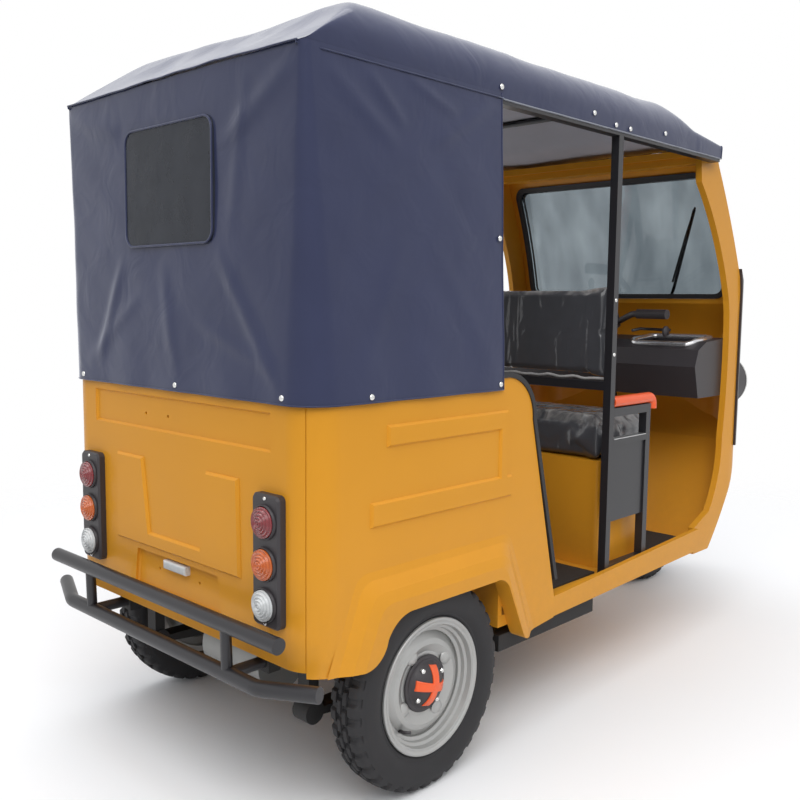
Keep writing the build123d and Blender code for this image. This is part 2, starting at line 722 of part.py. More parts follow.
STEER_FOOT = (
    FRONT_AXLE_X - FORK_OFFSET * cos(radians(RAKE)),
    0,
    TYRE_R - FORK_OFFSET * sin(radians(RAKE)),
)
STEER = Plane(
    origin=STEER_FOOT,
    x_dir=(cos(radians(RAKE)), 0, sin(radians(RAKE))),
    z_dir=(-sin(radians(RAKE)), 0, cos(radians(RAKE))),
)
STEM_HOLE_R = 46
CROSS_X = front(442)
NECK_HALF_W = 26
NECK_OUTLINE = (
    (CROSS_X + 10, 254),
    (front(318), 262),
    (front(238), 500),
    (front(226), 585),
    (front(236), 622),
    (front(250), 600),
    (front(258), 520),
    (front(266), 482),
    (front(334), 318),
    (front(348), 296),
    (CROSS_X + 10, 296),
)
DOOR_TOP_Z = COWL_TOP_Z - 48
DOOR_OUTLINE = (
    (COWL_BACK_X - 120, DOOR_TOP_Z),
    (front(612), DOOR_TOP_Z),
    ((front(430), COWL_BELT_Z + 0.485 * (DOOR_TOP_Z - COWL_BELT_Z)), (front(350), COWL_BELT_Z)),
    ((front(341), 1000), (front(360), 700)),
    ((front(384), 540), (front(440), 440)),
    (COWL_BACK_X, 397),
    (COWL_BACK_X - 120, 397),
)
SCREEN_LOW_Z = COWL_BELT_Z + 8
SCREEN_TOP_Z = COWL_TOP_Z - 60
SCREEN_LOW_HALF = COWL_HALF_W - 48
SCREEN_TOP_HALF = COWL_HALF_W - 76
SCREEN_CORNERS = (
    (-SCREEN_LOW_HALF, SCREEN_LOW_Z),
    (SCREEN_LOW_HALF, SCREEN_LOW_Z),
    (SCREEN_TOP_HALF, SCREEN_TOP_Z),
    (-SCREEN_TOP_HALF, SCREEN_TOP_Z),
)
SEAL_W = 18


def screen_prism(shrink):
    """Windscreen outline pushed along the cart."""
    with BuildPart() as prism:
        with BuildSketch(Plane.YZ.offset(front(800))) as pane:
            with BuildLine():
                Polyline(*SCREEN_CORNERS, close=True)
            make_face()
            fillet(pane.vertices(), 48)
            if shrink:
                offset(amount=-shrink)
        extrude(amount=900)
    return prism.part


cowl_outer = cowl_block(0, COWL_BACK_X)
with BuildPart() as front_cowl:
    add(cowl_outer)
    add(cowl_block(-COWL_WALL, COWL_BACK_X - 150), mode=Mode.SUBTRACT)
    add(side_slab(DOOR_OUTLINE, -SIDE_FAR, SIDE_FAR), mode=Mode.SUBTRACT)
    add(screen_prism(0), mode=Mode.SUBTRACT)
    # Header beam behind the top of the windscreen
    box_between(
        front(540), front(492), -COWL_HALF_W_TOP + 4, COWL_HALF_W_TOP - 4, DOOR_TOP_Z + 2,
        COWL_TOP_Z - COWL_WALL + 1,
    )
    with BuildSketch(STEER.offset(300)):
        Circle(STEM_HOLE_R)
    extrude(amount=300, mode=Mode.SUBTRACT)
    add(
        side_slab(
            box_outline(front(270), front(200), COWL_LOW_Z + 150, 640), -NECK_HALF_W - 8, NECK_HALF_W + 8
        ),
        mode=Mode.SUBTRACT,
    )
save(front_cowl, "front_cowl")

with BuildPart() as front_fascia:
    add(cowl_block(FASCIA_T, COWL_BACK_X))
    add(cowl_block(SEAT_GAP, COWL_BACK_X - 30), mode=Mode.SUBTRACT)
    box_between(
        front(255), FRONT_AXLE_X, -SIDE_FAR, SIDE_FAR, COWL_BELT_Z - 530, COWL_BELT_Z + 160, Mode.INTERSECT,
    )
    add(screen_prism(-SEAT_GAP), mode=Mode.SUBTRACT)
    with BuildSketch(STEER.offset(300)):
        Circle(STEM_HOLE_R + 8)
    extrude(amount=300, mode=Mode.SUBTRACT)
save(front_fascia, "front_fascia")

with BuildPart() as windscreen_seal:
    add(cowl_block(5, COWL_BACK_X))
    add(cowl_block(-COWL_WALL - 5, COWL_BACK_X - 150), mode=Mode.SUBTRACT)
    add(screen_prism(SEAT_GAP), mode=Mode.INTERSECT)
    add(screen_prism(SEAL_W), mode=Mode.SUBTRACT)
    box_between(front(560), FRONT_AXLE_X, -SIDE_FAR, SIDE_FAR, COWL_BELT_Z - 90, DOOR_TOP_Z, Mode.INTERSECT)
save(windscreen_seal, "windscreen_seal")

with BuildPart() as windscreen:
    add(cowl_block(-8, COWL_BACK_X))
    add(cowl_block(-14, COWL_BACK_X - 150), mode=Mode.SUBTRACT)
    add(screen_prism(SEAL_W + SEAT_GAP), mode=Mode.INTERSECT)
    box_between(front(520), FRONT_AXLE_X, -SIDE_FAR, SIDE_FAR, COWL_BELT_Z - 90, DOOR_TOP_Z, Mode.INTERSECT)
save(windscreen, "windscreen")

# Dashboard

DASH_HALF_W = COWL_HALF_W - COWL_WALL - SEAT_GAP
DASH_OUTLINE = (
    (front(520), DASH_TOP_Z - 206),
    (front(552), DASH_TOP_Z - 96),
    (front(530), DASH_TOP_Z - 38),
    (front(470), DASH_TOP_Z - 10),
    (front(300), DASH_TOP_Z),
    (front(300), DASH_TOP_Z - 206),
)
TRAY = (front(500), front(345), 195, DASH_HALF_W - 46)
TRAY_FLOOR_Z = DASH_TOP_Z - 71
STEM_TOP_S = (DASH_TOP_Z + 24 - STEER_FOOT[2]) / cos(radians(RAKE))
BAR_POD = (90, 150, 46)
with BuildPart() as dashboard:
    add(side_slab(DASH_OUTLINE, -DASH_HALF_W, DASH_HALF_W))
    for side in (-1, 1):
        y_pair = sorted((side * TRAY[2], side * TRAY[3]))
        box_between(TRAY[0], TRAY[1], y_pair[0], y_pair[1], TRAY_FLOOR_Z, DASH_TOP_Z + 44, Mode.SUBTRACT)
    with BuildSketch(STEER.offset(500)):
        Circle(STEM_HOLE_R)
    extrude(amount=600, mode=Mode.SUBTRACT)
    # Dished ring that the instrument pod turns in
    with BuildSketch(STEER.offset(STEM_TOP_S - 14)):
        Circle(0.5 * (BAR_POD[0] ** 2 + BAR_POD[1] ** 2) ** 0.5 + 12)
    extrude(amount=300, mode=Mode.SUBTRACT)
save(dashboard, "dashboard")

# Lamps

POD_Y = COWL_HALF_W - 140
POD_Z = COWL_BELT_Z - POD_DROP
POD_R = 97
POD_BACK_X = front(240)
POD_FRONT_X = front(64)
with BuildPart() as headlamp_bezels:
    for side in (-1, 1):
        rod((POD_BACK_X, side * POD_Y, POD_Z), (POD_FRONT_X, side * POD_Y, POD_Z), POD_R)
    add(cowl_block(FASCIA_T + SEAT_GAP, COWL_BACK_X - 30), mode=Mode.SUBTRACT)
    for side in (-1, 1):
        rod(
            (POD_FRONT_X - 18, side * POD_Y, POD_Z), (POD_FRONT_X + 10, side * POD_Y, POD_Z), POD_R - 14,
            Mode.SUBTRACT,
        )
save(headlamp_bezels, "headlamp_bezels")

with BuildPart() as headlamp_lenses:
    for side in (-1, 1):
        lens_seat = (POD_FRONT_X - 18, side * POD_Y, POD_Z)
        with BuildSketch(Plane(origin=lens_seat, x_dir=(1, 0, 0), z_dir=(0, -1, 0))):
            with BuildLine():
                trace(
                    (SEAT_GAP, 0),
                    (SEAT_GAP, POD_R - 14 - SEAT_GAP),
                    (8, POD_R - 14 - SEAT_GAP),
                    (15, 58),
                    (19, 30),
                    (20, 0),
                )
            make_face()
        revolve(axis=Axis((POD_FRONT_X, side * POD_Y, POD_Z), (1, 0, 0)))
save(headlamp_lenses, "headlamp_lenses")

LAMP_Z = 617
LAMP_T = 20
LENS_R = 34
with BuildPart() as tail_lamp_housings:
    with BuildSketch(Plane(origin=(REAR_X - SEAT_GAP, 0, 0), x_dir=(0, -1, 0), z_dir=(-1, 0, 0))):
        with Locations((-LAMP_Y, LAMP_Z), (LAMP_Y, LAMP_Z)):
            RectangleRounded(LAMP_W, LAMP_H, 14)
    extrude(amount=LAMP_T)
    chamfer(tail_lamp_housings.faces().sort_by(Axis.X)[0:2].edges(), 5)
save(tail_lamp_housings, "tail_lamp_housings")

LENS_ROWS = (("red", 703), ("amber", 611), ("clear", 521))
for lens_name, lens_z in LENS_ROWS:
    with BuildPart() as lens:
        for side in (-1, 1):
            face_x = REAR_X - LAMP_T - 2 * SEAT_GAP
            with BuildSketch(
                Plane(origin=(face_x, side * LAMP_Y, lens_z), x_dir=(-1, 0, 0), z_dir=(0, 1, 0))
            ):
                with BuildLine():
                    trace(
                        (0, 0), (0, LENS_R), (12, LENS_R - 2), (16, LENS_R - 6), (16, LENS_R - 12),
                        (18, LENS_R - 12), (18, LENS_R - 19), (20, LENS_R - 19), (20, 7), (22, 7), (22, 0),
                    )
                make_face()
            revolve(axis=Axis((face_x, side * LAMP_Y, lens_z), (1, 0, 0)))
    save(lens, f"tail_lamp_{lens_name}_lenses")

with BuildPart() as number_plate_lamp:
    box_between(REAR_X - 6, REAR_X + 11 - SEAT_GAP, -48, 48, 508, 530)
    fillet(number_plate_lamp.edges().group_by(Axis.X)[0], 5)
save(number_plate_lamp, "number_plate_lamp")

# Wiper on the windscreen

WIPER_Y = 311 - COWL_HALF_W
WIPER_FOOT = (front(204), WIPER_Y, COWL_BELT_Z - 10)
WIPER_KNEE = (front(220), WIPER_Y - 28, COWL_BELT_Z + 50)
WIPER_TIP = (front(322), WIPER_Y - 148, SCREEN_LOW_Z + 0.733 * (SCREEN_TOP_Z - SCREEN_LOW_Z))
with BuildPart() as wiper:
    rod((front(222), WIPER_Y, COWL_BELT_Z - 25), (front(188), WIPER_Y, COWL_BELT_Z + 2), 16)
    with BuildLine() as arm_line:
        Polyline(WIPER_FOOT, WIPER_KNEE, WIPER_TIP)
    with BuildSketch(Plane(origin=WIPER_FOOT, z_dir=Vector(*WIPER_KNEE) - Vector(*WIPER_FOOT))):
        Circle(6)
    sweep(path=arm_line.wire(), transition=Transition.ROUND)
    add(cowl_block(FASCIA_T + SEAT_GAP, COWL_BACK_X - 30), mode=Mode.SUBTRACT)
save(wiper, "wiper")

# Rear bumper

BUMPER_X = REAR_X - BUMPER_STANDOFF - BUMPER_TUBE_R
BUMPER_Z = 469
BUMPER_HALF = BODY_HALF_W - 24
LOWER_X = BUMPER_X + 3
LOWER_END = (52, BODY_HALF_W + 40, 12)
LOWER_BEND_Y = BODY_HALF_W - 98
LOWER_Z = 356
UPRIGHT_Y = BODY_HALF_W - 208
CHASSIS_TAIL_X = rear(-345)
with BuildPart() as rear_bumper:
    rod((BUMPER_X, -BUMPER_HALF, BUMPER_Z), (BUMPER_X, BUMPER_HALF, BUMPER_Z), BUMPER_TUBE_R)
    with BuildLine() as lower_line:
        FilletPolyline(
            (LOWER_X + LOWER_END[0], -LOWER_END[1], LOWER_Z + LOWER_END[2]),
            (LOWER_X, -LOWER_BEND_Y, LOWER_Z),
            (LOWER_X, LOWER_BEND_Y, LOWER_Z),
            (LOWER_X + LOWER_END[0], LOWER_END[1], LOWER_Z + LOWER_END[2]),
            radius=70,
        )
    with BuildSketch(
        Plane(
            origin=(LOWER_X + LOWER_END[0], -LOWER_END[1], LOWER_Z + LOWER_END[2]),
            z_dir=(-LOWER_END[0], LOWER_END[1] - LOWER_BEND_Y, -LOWER_END[2]),
        )
    ):
        Circle(BUMPER_TUBE_R)
    sweep(path=lower_line.wire())
    for side in (-1, 1):
        rod((LOWER_X, side * UPRIGHT_Y, LOWER_Z), (BUMPER_X, side * UPRIGHT_Y, BUMPER_Z), 13)
        rod((LOWER_X, side * UPRIGHT_Y, LOWER_Z), (CHASSIS_TAIL_X - SEAT_GAP, side * UPRIGHT_Y, LOWER_Z), 14)
save(rear_bumper, "rear_bumper")

# Chassis

SPRING_Y = REAR_TRACK_HALF - 136
RAIL_Y = SPRING_Y - 80
RAIL_W = 40
RAIL_H = 46
SPRING_W = 50
SPRING_T = 30
LEAF_T = 16
AXLE_R = 30
SADDLE = 6
SPRING_Z = TYRE_R - AXLE_R - SADDLE - SEAT_GAP
SPRING_EYE_Z = SPRING_Z - 4
SPRING_EYE_R = 28
HANGER_X = (340, 380)
SHACKLE_X = (-250, -220)
UNDER_Z = FLOOR_Z - FLOOR_T - SEAT_GAP
KICK_Z = 430
STEP_Z = 250
HEAD_R = 30
with BuildPart() as chassis_frame:
    rail_outline = (
        (CHASSIS_TAIL_X, KICK_Z),
        (rear(90), KICK_Z),
        (rear(190), UNDER_Z - RAIL_H),
        (CROSS_X + 40, UNDER_Z - RAIL_H),
        (CROSS_X + 40, COWL_LOW_Z - SEAT_GAP),
        (COWL_BACK_X - 40, COWL_LOW_Z - SEAT_GAP),
        (COWL_BACK_X - 40, UNDER_Z),
        (rear(205), UNDER_Z),
        (rear(105), KICK_Z + RAIL_H),
        (CHASSIS_TAIL_X, KICK_Z + RAIL_H),
    )
    spring_out = SPRING_Y + SPRING_W / 2
    for side in (-1, 1):
        add(side_slab(rail_outline, side * RAIL_Y - RAIL_W / 2, side * RAIL_Y + RAIL_W / 2))
        bumper_y = side * UPRIGHT_Y
        box_between(
            CHASSIS_TAIL_X, CHASSIS_TAIL_X + 34, bumper_y - 22, bumper_y + 22, LOWER_Z - 22, KICK_Z + 2,
        )
    # Cross members: tail, spring shackles, spring hangers, middle and front
    box_between(CHASSIS_TAIL_X, rear(SHACKLE_X[1]), -spring_out, spring_out, KICK_Z, KICK_Z + RAIL_H)
    box_between(rear(HANGER_X[0]), rear(HANGER_X[1]), -spring_out, spring_out, STEP_Z, UNDER_Z)
    for side in (-1, 1):
        y_pair = sorted((side * (SPRING_Y - SPRING_W / 2), side * spring_out))
        box_between(
            rear(HANGER_X[0]), rear(HANGER_X[1]), y_pair[0], y_pair[1],
            SPRING_EYE_Z - SPRING_EYE_R, STEP_Z + 1,
        )
    for cross_x in (front(1130), front(720)):
        box_between(cross_x - 20, cross_x + 20, -RAIL_Y, RAIL_Y, UNDER_Z - RAIL_H + 4, UNDER_Z)
    box_between(CROSS_X, CROSS_X + 40, -RAIL_Y, RAIL_Y, UNDER_Z - RAIL_H, COWL_LOW_Z - 2)
    # Outriggers and the step bearers under the sills
    step_out = INNER_HALF_W - 8
    for side in (-1, 1):
        y_pair = sorted((side * RAIL_Y, side * step_out))
        for step_x in (rear(HANGER_X[0]), SILL_X + 200):
            box_between(step_x, step_x + 40, y_pair[0], y_pair[1], STEP_Z, STEP_Z + 40)
        y_pair = sorted((side * (step_out - 40), side * step_out))
        box_between(rear(HANGER_X[0] - 40), SILL_X + 252, y_pair[0], y_pair[1], STEP_Z, STEP_Z + 44)
    # Neck up to the steering head
    add(side_slab(NECK_OUTLINE, -NECK_HALF_W, NECK_HALF_W))
    with BuildSketch(STEER.offset(362)):
        Circle(HEAD_R)
    extrude(amount=110)
    with BuildSketch(STEER.offset(300)):
        Circle(STEM_R + 0.1)
    extrude(amount=300, mode=Mode.SUBTRACT)
save(chassis_frame, "chassis_frame")

BATTERY_Z = 180
with BuildPart() as battery_box:
    box_between(
        rear(420), front(960), -RAIL_Y + RAIL_W / 2 + SEAT_GAP, RAIL_Y - RAIL_W / 2 - SEAT_GAP,
        BATTERY_Z, UNDER_Z - RAIL_H + 3,
    )
    fillet(battery_box.edges().filter_by(Axis.Z), 12)
save(battery_box, "battery_box")

# Rear axle, motor and springs

SPINDLE_R = 20
HUB_IN = 45
with BuildPart() as rear_axle:
    axle_half = REAR_TRACK_HALF - HUB_IN - 6
    rod((REAR_AXLE_X, -axle_half, TYRE_R), (REAR_AXLE_X, axle_half, TYRE_R), AXLE_R)
    spindle_half = REAR_TRACK_HALF + 8
    rod((REAR_AXLE_X, -spindle_half, TYRE_R), (REAR_AXLE_X, spindle_half, TYRE_R), SPINDLE_R)
    with Locations((REAR_AXLE_X, 0, TYRE_R)):
        Sphere(88)
    for side in (-1, 1):
        rod((REAR_AXLE_X, side * (axle_half - 8), TYRE_R), (REAR_AXLE_X, side * axle_half, TYRE_R), 88)
        y0 = side * SPRING_Y - SPRING_W / 2
        box_between(
            REAR_AXLE_X - 45, REAR_AXLE_X + 45, y0, y0 + SPRING_W, TYRE_R - AXLE_R - SADDLE, TYRE_R + 20
        )
save(rear_axle, "rear_axle")

MOTOR_R = 78
with BuildPart() as drive_motor:
    rod((rear(-165), -150, TYRE_R + 8), (rear(-165), 90, TYRE_R + 8), MOTOR_R)
    box_between(rear(-165), rear(-60), -50, 50, TYRE_R - 40, TYRE_R + 50)
    with Locations((REAR_AXLE_X, 0, TYRE_R)):
        Sphere(88 + SEAT_GAP, mode=Mode.SUBTRACT)
    rod((REAR_AXLE_X, -200, TYRE_R), (REAR_AXLE_X, 200, TYRE_R), AXLE_R + SEAT_GAP, Mode.SUBTRACT)
save(drive_motor, "drive_motor")

with BuildPart() as leaf_springs:
    eye_x = rear(sum(SHACKLE_X) / 2)
    hanger_x = rear(HANGER_X[0]) - SEAT_GAP
    spring_outline = (
        (eye_x, SPRING_EYE_Z + LEAF_T / 2),
        ((REAR_AXLE_X, SPRING_Z), (hanger_x, SPRING_EYE_Z + LEAF_T / 2)),
        (hanger_x, SPRING_EYE_Z - LEAF_T / 2),
        ((REAR_AXLE_X, SPRING_Z - SPRING_T), (eye_x, SPRING_EYE_Z - LEAF_T / 2)),
    )
    for side in (-1, 1):
        y_mid = side * SPRING_Y
        y_pair = (y_mid - SPRING_W / 2, y_mid + SPRING_W / 2)
        add(side_slab(spring_outline, *y_pair))
        rod((eye_x, y_pair[0], SPRING_EYE_Z), (eye_x, y_pair[1], SPRING_EYE_Z), SPRING_EYE_R)
        box_between(
            rear(SHACKLE_X[0]), rear(SHACKLE_X[1]), y_mid - RAIL_W / 2, y_mid + RAIL_W / 2,
            SPRING_EYE_Z, KICK_Z - SEAT_GAP,
        )
        box_between(
            REAR_AXLE_X - 46, REAR_AXLE_X + 46, y_pair[0] - 1, y_pair[1] + 1, SPRING_Z, SPRING_Z + 40,
            Mode.SUBTRACT,
        )
save(leaf_springs, "leaf_springs")

# Wheels: profiles in (along the axle, out from it), turned about the axle

RIM_BARREL = (
    (44, RIM_FLANGE_R), (40, RIM_FLANGE_R), (40, 152.5), (24, 151), (15, 133), (-15, 133), (-24, 151),
    (-40, 152.5), (-40, RIM_FLANGE_R), (-44, RIM_FLANGE_R), (-44, 149), (-26, 147), (-17, 129), (17, 129),
    (20, 137), (29, 139), (32, 146), (44, 149),
)
RIM_DISC = (
    (10, 130), (24, 110), (27, 98), (16, 78), (16, 26), (8, 26), (8, 80), (20, 98), (17, 108), (3, 130),
)
TYRE_BEAD_R = 152.8
BULGE_R = 200


def turned(builder_plane, outline, centre):
    with BuildPart() as ring:
        with BuildSketch(builder_plane):
            with BuildLine():
                trace(*outline)
            make_face()
        revolve(axis=Axis(centre, (0, 1, 0)))
    return ring.part


# Slots between the shoulder lugs of a tyre at the origin
slot_spots = []
for side in (-1, 1):
    for index in range(LUG_COUNT):
        turn = radians((index + 0.25 * side) * 360 / LUG_COUNT)
        spoke = Vector(sin(turn), 0, cos(turn))
        spot = spoke * TYRE_R + Vector(0, side * (TYRE_HALF_W - 8), 0)
        slot_spots.append(Plane(origin=spot, x_dir=(0, 1, 0), z_dir=spoke))
with BuildPart() as lug_slots:
    with Locations(*slot_spots):
        Box(LUG_REACH, LUG_SLOT_W, 2 * LUG_DEPTH)


def wheel_set(name, centre, outward, bore):
    """Tyre and rim with its brake drum; outward is the side of the dish."""
    plane = Plane(origin=centre, x_dir=(0, outward, 0), z_dir=(outward, 0, 0))
    crown = TYRE_R
    shoulder = TYRE_HALF_W - 7
    tyre_outline = (
        (-39.5, TYRE_BEAD_R),
        (39.5, TYRE_BEAD_R),
        (39.5, RIM_FLANGE_R + 2),
        ((TYRE_HALF_W, BULGE_R), (shoulder, crown - 16)),
        ((shoulder - 4, crown - 7), (shoulder - 12, crown - 3)),
        ((0, crown), (12 - shoulder, crown - 3)),
        ((4 - shoulder, crown - 7), (-shoulder, crown - 16)),
        ((-TYRE_HALF_W, BULGE_R), (-39.5, RIM_FLANGE_R + 2)),
    )
    with BuildPart() as tyre:
        add(turned(plane, tyre_outline, centre))
        add(lug_slots.part.moved(Location(centre)), mode=Mode.SUBTRACT)
    save(tyre, f"{name}_tyre")
    with BuildPart() as rim:
        add(turned(plane, RIM_BARREL, centre))
        add(turned(plane, RIM_DISC, centre))
        drum = ((8, bore), (8, 60), (-6, 84), (-HUB_IN, 84), (-HUB_IN, bore))
        add(turned(plane, drum, centre))
    save(rim, f"{name}_rim")


CAP_R = 70
CAP_TOP = 48
ARM_SPAN = 96
ARM_W = 26
ARM_RISE = 11
for wheel_name, outward in (("rear_left", 1), ("rear_right", -1)):
    wheel_centre = (REAR_AXLE_X, outward * REAR_TRACK_HALF, TYRE_R)
    wheel_set(wheel_name, wheel_centre, outward, SPINDLE_R + 0.1)
    cap_plane = Plane(origin=wheel_centre, x_dir=(0, outward, 0), z_dir=(outward, 0, 0))
    cap_outline = (
        (16 + SEAT_GAP, 0), (16 + SEAT_GAP, CAP_R), (CAP_TOP - 14, CAP_R), (CAP_TOP - 3, CAP_R - 10),
        (CAP_TOP, CAP_R - 18), (CAP_TOP, 0),
    )
    with BuildPart() as hub_cap:
        add(turned(cap_plane, cap_outline, wheel_centre))
        # Four raised arms
        with BuildSketch(
            Plane(
                origin=(REAR_AXLE_X, outward * (REAR_TRACK_HALF + CAP_TOP - 2), TYRE_R),
                x_dir=(1, 0, 0),
                z_dir=(0, outward, 0),
            )
        ):
            with Locations(Rotation(0, 0, -14)):
                Rectangle(ARM_SPAN, ARM_W)
                Rectangle(ARM_W, ARM_SPAN)
        extrude(amount=ARM_RISE + 2)
    save(hub_cap, f"{wheel_name}_hub_cap")

FRONT_AXLE_R = 11
FRONT_CENTRE = (FRONT_AXLE_X, 0, TYRE_R)
wheel_set("front", FRONT_CENTRE, -1, FRONT_AXLE_R + 0.1)

# Steering: fork, mudguard and handlebar turn together

CROWN_H = 44
with BuildPart() as front_fork:
    with BuildSketch(STEER.offset(-26)):
        with Locations((FORK_OFFSET, LEG_Y), (FORK_OFFSET, -LEG_Y)):
            Circle(LEG_R)
    extrude(amount=CROWN_S + CROWN_H + 26)
    with BuildSketch(STEER.offset(CROWN_S)):
        with Locations((FORK_OFFSET, 0)):
            RectangleRounded(2 * LEG_R + 8, 2 * LEG_Y + 2 * LEG_R, 18)
        with Locations((FORK_OFFSET / 2 - 12, 0)):
            RectangleRounded(FORK_OFFSET + 30, 64, 18)
    extrude(amount=CROWN_H)
    with BuildSketch(STEER.offset(CROWN_S + 4)):
        Circle(STEM_R)
    extrude(amount=STEM_TOP_S - CROWN_S - 4)
    rod((FRONT_AXLE_X, -LEG_Y, TYRE_R), (FRONT_AXLE_X, LEG_Y, TYRE_R), FRONT_AXLE_R)
    guard_r = TYRE_R + MUDGUARD_GAP + MUDGUARD_T + SEAT_GAP
    with BuildSketch(STEER.offset(guard_r)):
        with Locations((FORK_OFFSET, 0)):
            Rectangle(24, 50)
    extrude(amount=CROWN_S - guard_r + 1)
save(front_fork, "front_fork")

GUARD_ARC = 150
GUARD_HALF_W = 57
guard_in = TYRE_R + MUDGUARD_GAP
with BuildPart() as front_mudguard:
    with BuildSketch(Plane(origin=FRONT_CENTRE, x_dir=(0, 1, 0), z_dir=(0, 0, -1))):
        with BuildLine():
            trace(
                (-GUARD_HALF_W, guard_in - 16), (-GUARD_HALF_W + MUDGUARD_T, guard_in - 16),
                (-GUARD_HALF_W + MUDGUARD_T + 6, guard_in), (GUARD_HALF_W - MUDGUARD_T - 6, guard_in),
                (GUARD_HALF_W - MUDGUARD_T, guard_in - 16), (GUARD_HALF_W, guard_in - 16),
                (GUARD_HALF_W - 6, guard_in + MUDGUARD_T), (-GUARD_HALF_W + 6, guard_in + MUDGUARD_T),
            )
        make_face()
    revolve(axis=Axis(FRONT_CENTRE, (0, -1, 0)), revolution_arc=GUARD_ARC)
save(front_mudguard, "front_mudguard")

BAR_TOP = STEER.from_local_coords((0, 0, STEM_TOP_S + 23))
GRIP_X = front(535)
GRIP_Z = DASH_TOP_Z + 84
GRIP_Y = (222, 345)
with BuildPart() as handlebar:
    with BuildLine() as bar_line:
        FilletPolyline(
            (GRIP_X, -GRIP_Y[1], GRIP_Z),
            (GRIP_X + 14, -GRIP_Y[0] + 20, GRIP_Z),
            (BAR_TOP.X, -70, BAR_TOP.Z),
            (BAR_TOP.X, 70, BAR_TOP.Z),
            (GRIP_X + 14, GRIP_Y[0] - 20, GRIP_Z),
            (GRIP_X, GRIP_Y[1], GRIP_Z),
            radius=45,
        )
    with BuildSketch(Plane(origin=(GRIP_X, -GRIP_Y[1], GRIP_Z), z_dir=(14, GRIP_Y[1] - GRIP_Y[0] + 20, 0))):
        Circle(11)
    sweep(path=bar_line.wire())
    for side in (-1, 1):
        rod((GRIP_X, side * GRIP_Y[1], GRIP_Z), (GRIP_X + 12, side * GRIP_Y[0], GRIP_Z), 17)
    # Clamp and instrument pod over the stem
    with BuildSketch(STEER.offset(STEM_TOP_S + SEAT_GAP)):
        RectangleRounded(BAR_POD[0], BAR_POD[1], 18)
    extrude(amount=BAR_POD[2])
save(handlebar, "handlebar")
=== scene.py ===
"""Looks of an electric three-wheeled passenger cart, built round its CAD part."""

import json
from functools import cache
from math import cos, hypot, pi, radians, sin, sqrt

import bpy
from bpy.props import FloatProperty, FloatVectorProperty, IntProperty, PointerProperty
from mathutils import Matrix, Vector, noise


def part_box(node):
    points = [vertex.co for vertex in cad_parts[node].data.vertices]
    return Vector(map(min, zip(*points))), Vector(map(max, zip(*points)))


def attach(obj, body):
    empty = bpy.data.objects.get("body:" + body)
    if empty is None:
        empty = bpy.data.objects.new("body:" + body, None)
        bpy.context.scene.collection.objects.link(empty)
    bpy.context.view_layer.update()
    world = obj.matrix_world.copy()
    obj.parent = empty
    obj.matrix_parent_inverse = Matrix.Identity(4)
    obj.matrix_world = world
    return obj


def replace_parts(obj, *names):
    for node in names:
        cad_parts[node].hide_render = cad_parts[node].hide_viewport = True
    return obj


bl_info = {
    "name": "Passenger three-wheeler",
    "version": (1, 0, 0),
    "blender": (4, 5, 0),
    "location": "View3D > Sidebar > Cart",
    "description": "Dresses the cart's CAD frame with cloth, cushions, tyres, lamps and finishes",
    "category": "Object",
}

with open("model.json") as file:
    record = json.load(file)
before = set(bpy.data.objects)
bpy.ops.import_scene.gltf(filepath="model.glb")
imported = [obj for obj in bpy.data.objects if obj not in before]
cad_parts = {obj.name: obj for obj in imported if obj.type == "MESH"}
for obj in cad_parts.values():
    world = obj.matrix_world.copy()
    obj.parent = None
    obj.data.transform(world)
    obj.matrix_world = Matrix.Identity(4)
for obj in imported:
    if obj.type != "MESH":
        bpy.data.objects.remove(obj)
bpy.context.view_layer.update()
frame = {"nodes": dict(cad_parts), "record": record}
MM = 0.001


def linear(hex_text):
    """Linear RGBA of an sRGB hex colour."""
    parts = [int(hex_text[i:i + 2], 16) / 255 for i in (0, 2, 4)]
    return tuple(c / 12.92 if c <= 0.04045 else ((c + 0.055) / 1.055) ** 2.4 for c in parts) + (1.0,)


def tint(name):
    """Colour of a finish, as it stands in the panel."""
    return tuple(getattr(bpy.context.scene.cart_colours, name))


def colour(hex_text, label, use):
    return FloatVectorProperty(name=label, description=use, size=4, subtype="COLOR", min=0, max=1,
                               default=linear(hex_text))


def length(mm, label, use):
    return FloatProperty(name=label, description=use, default=mm * MM, unit="LENGTH", subtype="DISTANCE",
                         precision=4)


class CartColours(bpy.types.PropertyGroup):
    yellow: colour("E09A28", "Yellow paint", "Enamel on the tub, floor and cowl")
    navy: colour("373C58", "Canopy blue", "Coated cloth of the canopy")
    lining: colour("B2B2BA", "Lining", "Grey back of the coated cloth")
    black: colour("222125", "Black paint", "Frame tubes, bumper and guards")
    vinyl: colour("424348", "Black vinyl", "Seat covers")
    rubber: colour("232224", "Rubber", "Tyres, seals and mat")
    plastic: colour("343033", "Black plastic", "Dash, lamp bodies and fascia")
    orange: colour("F4602A", "Orange plastic", "Handrails and hub cross")
    silver: colour("ACACAA", "Wheel silver", "Rims")
    red_lens: colour("8C3036", "Red lens", "Tail lamp")
    amber_lens: colour("D0641E", "Amber lens", "Turn lamp")


class CartSizes(bpy.types.PropertyGroup):
    cloth_sag: length(7, "Roof sag", "Fall of the roof cloth between two bows")
    cloth_fold: length(3.2, "Cloth folds", "Depth of the folds in the curtain")
    stud_radius: length(7.5, "Stud radius", "Snap studs along the canopy hems")
    piping_radius: length(2.2, "Piping radius", "Piping sewn into the canopy hems")
    tread_depth: length(7, "Tread depth", "Depth of the slots between tread blocks")
    edge_round: length(2.5, "Edge round", "Softening of sheet metal edges")
    tread_blocks: IntProperty(name="Tread blocks", description="Blocks round a tyre", default=36,
                              min=12, max=80)
    lens: FloatProperty(name="Camera lens", description="Focal length on a 36 mm sensor", default=41.2,
                        unit="CAMERA")


# Materials


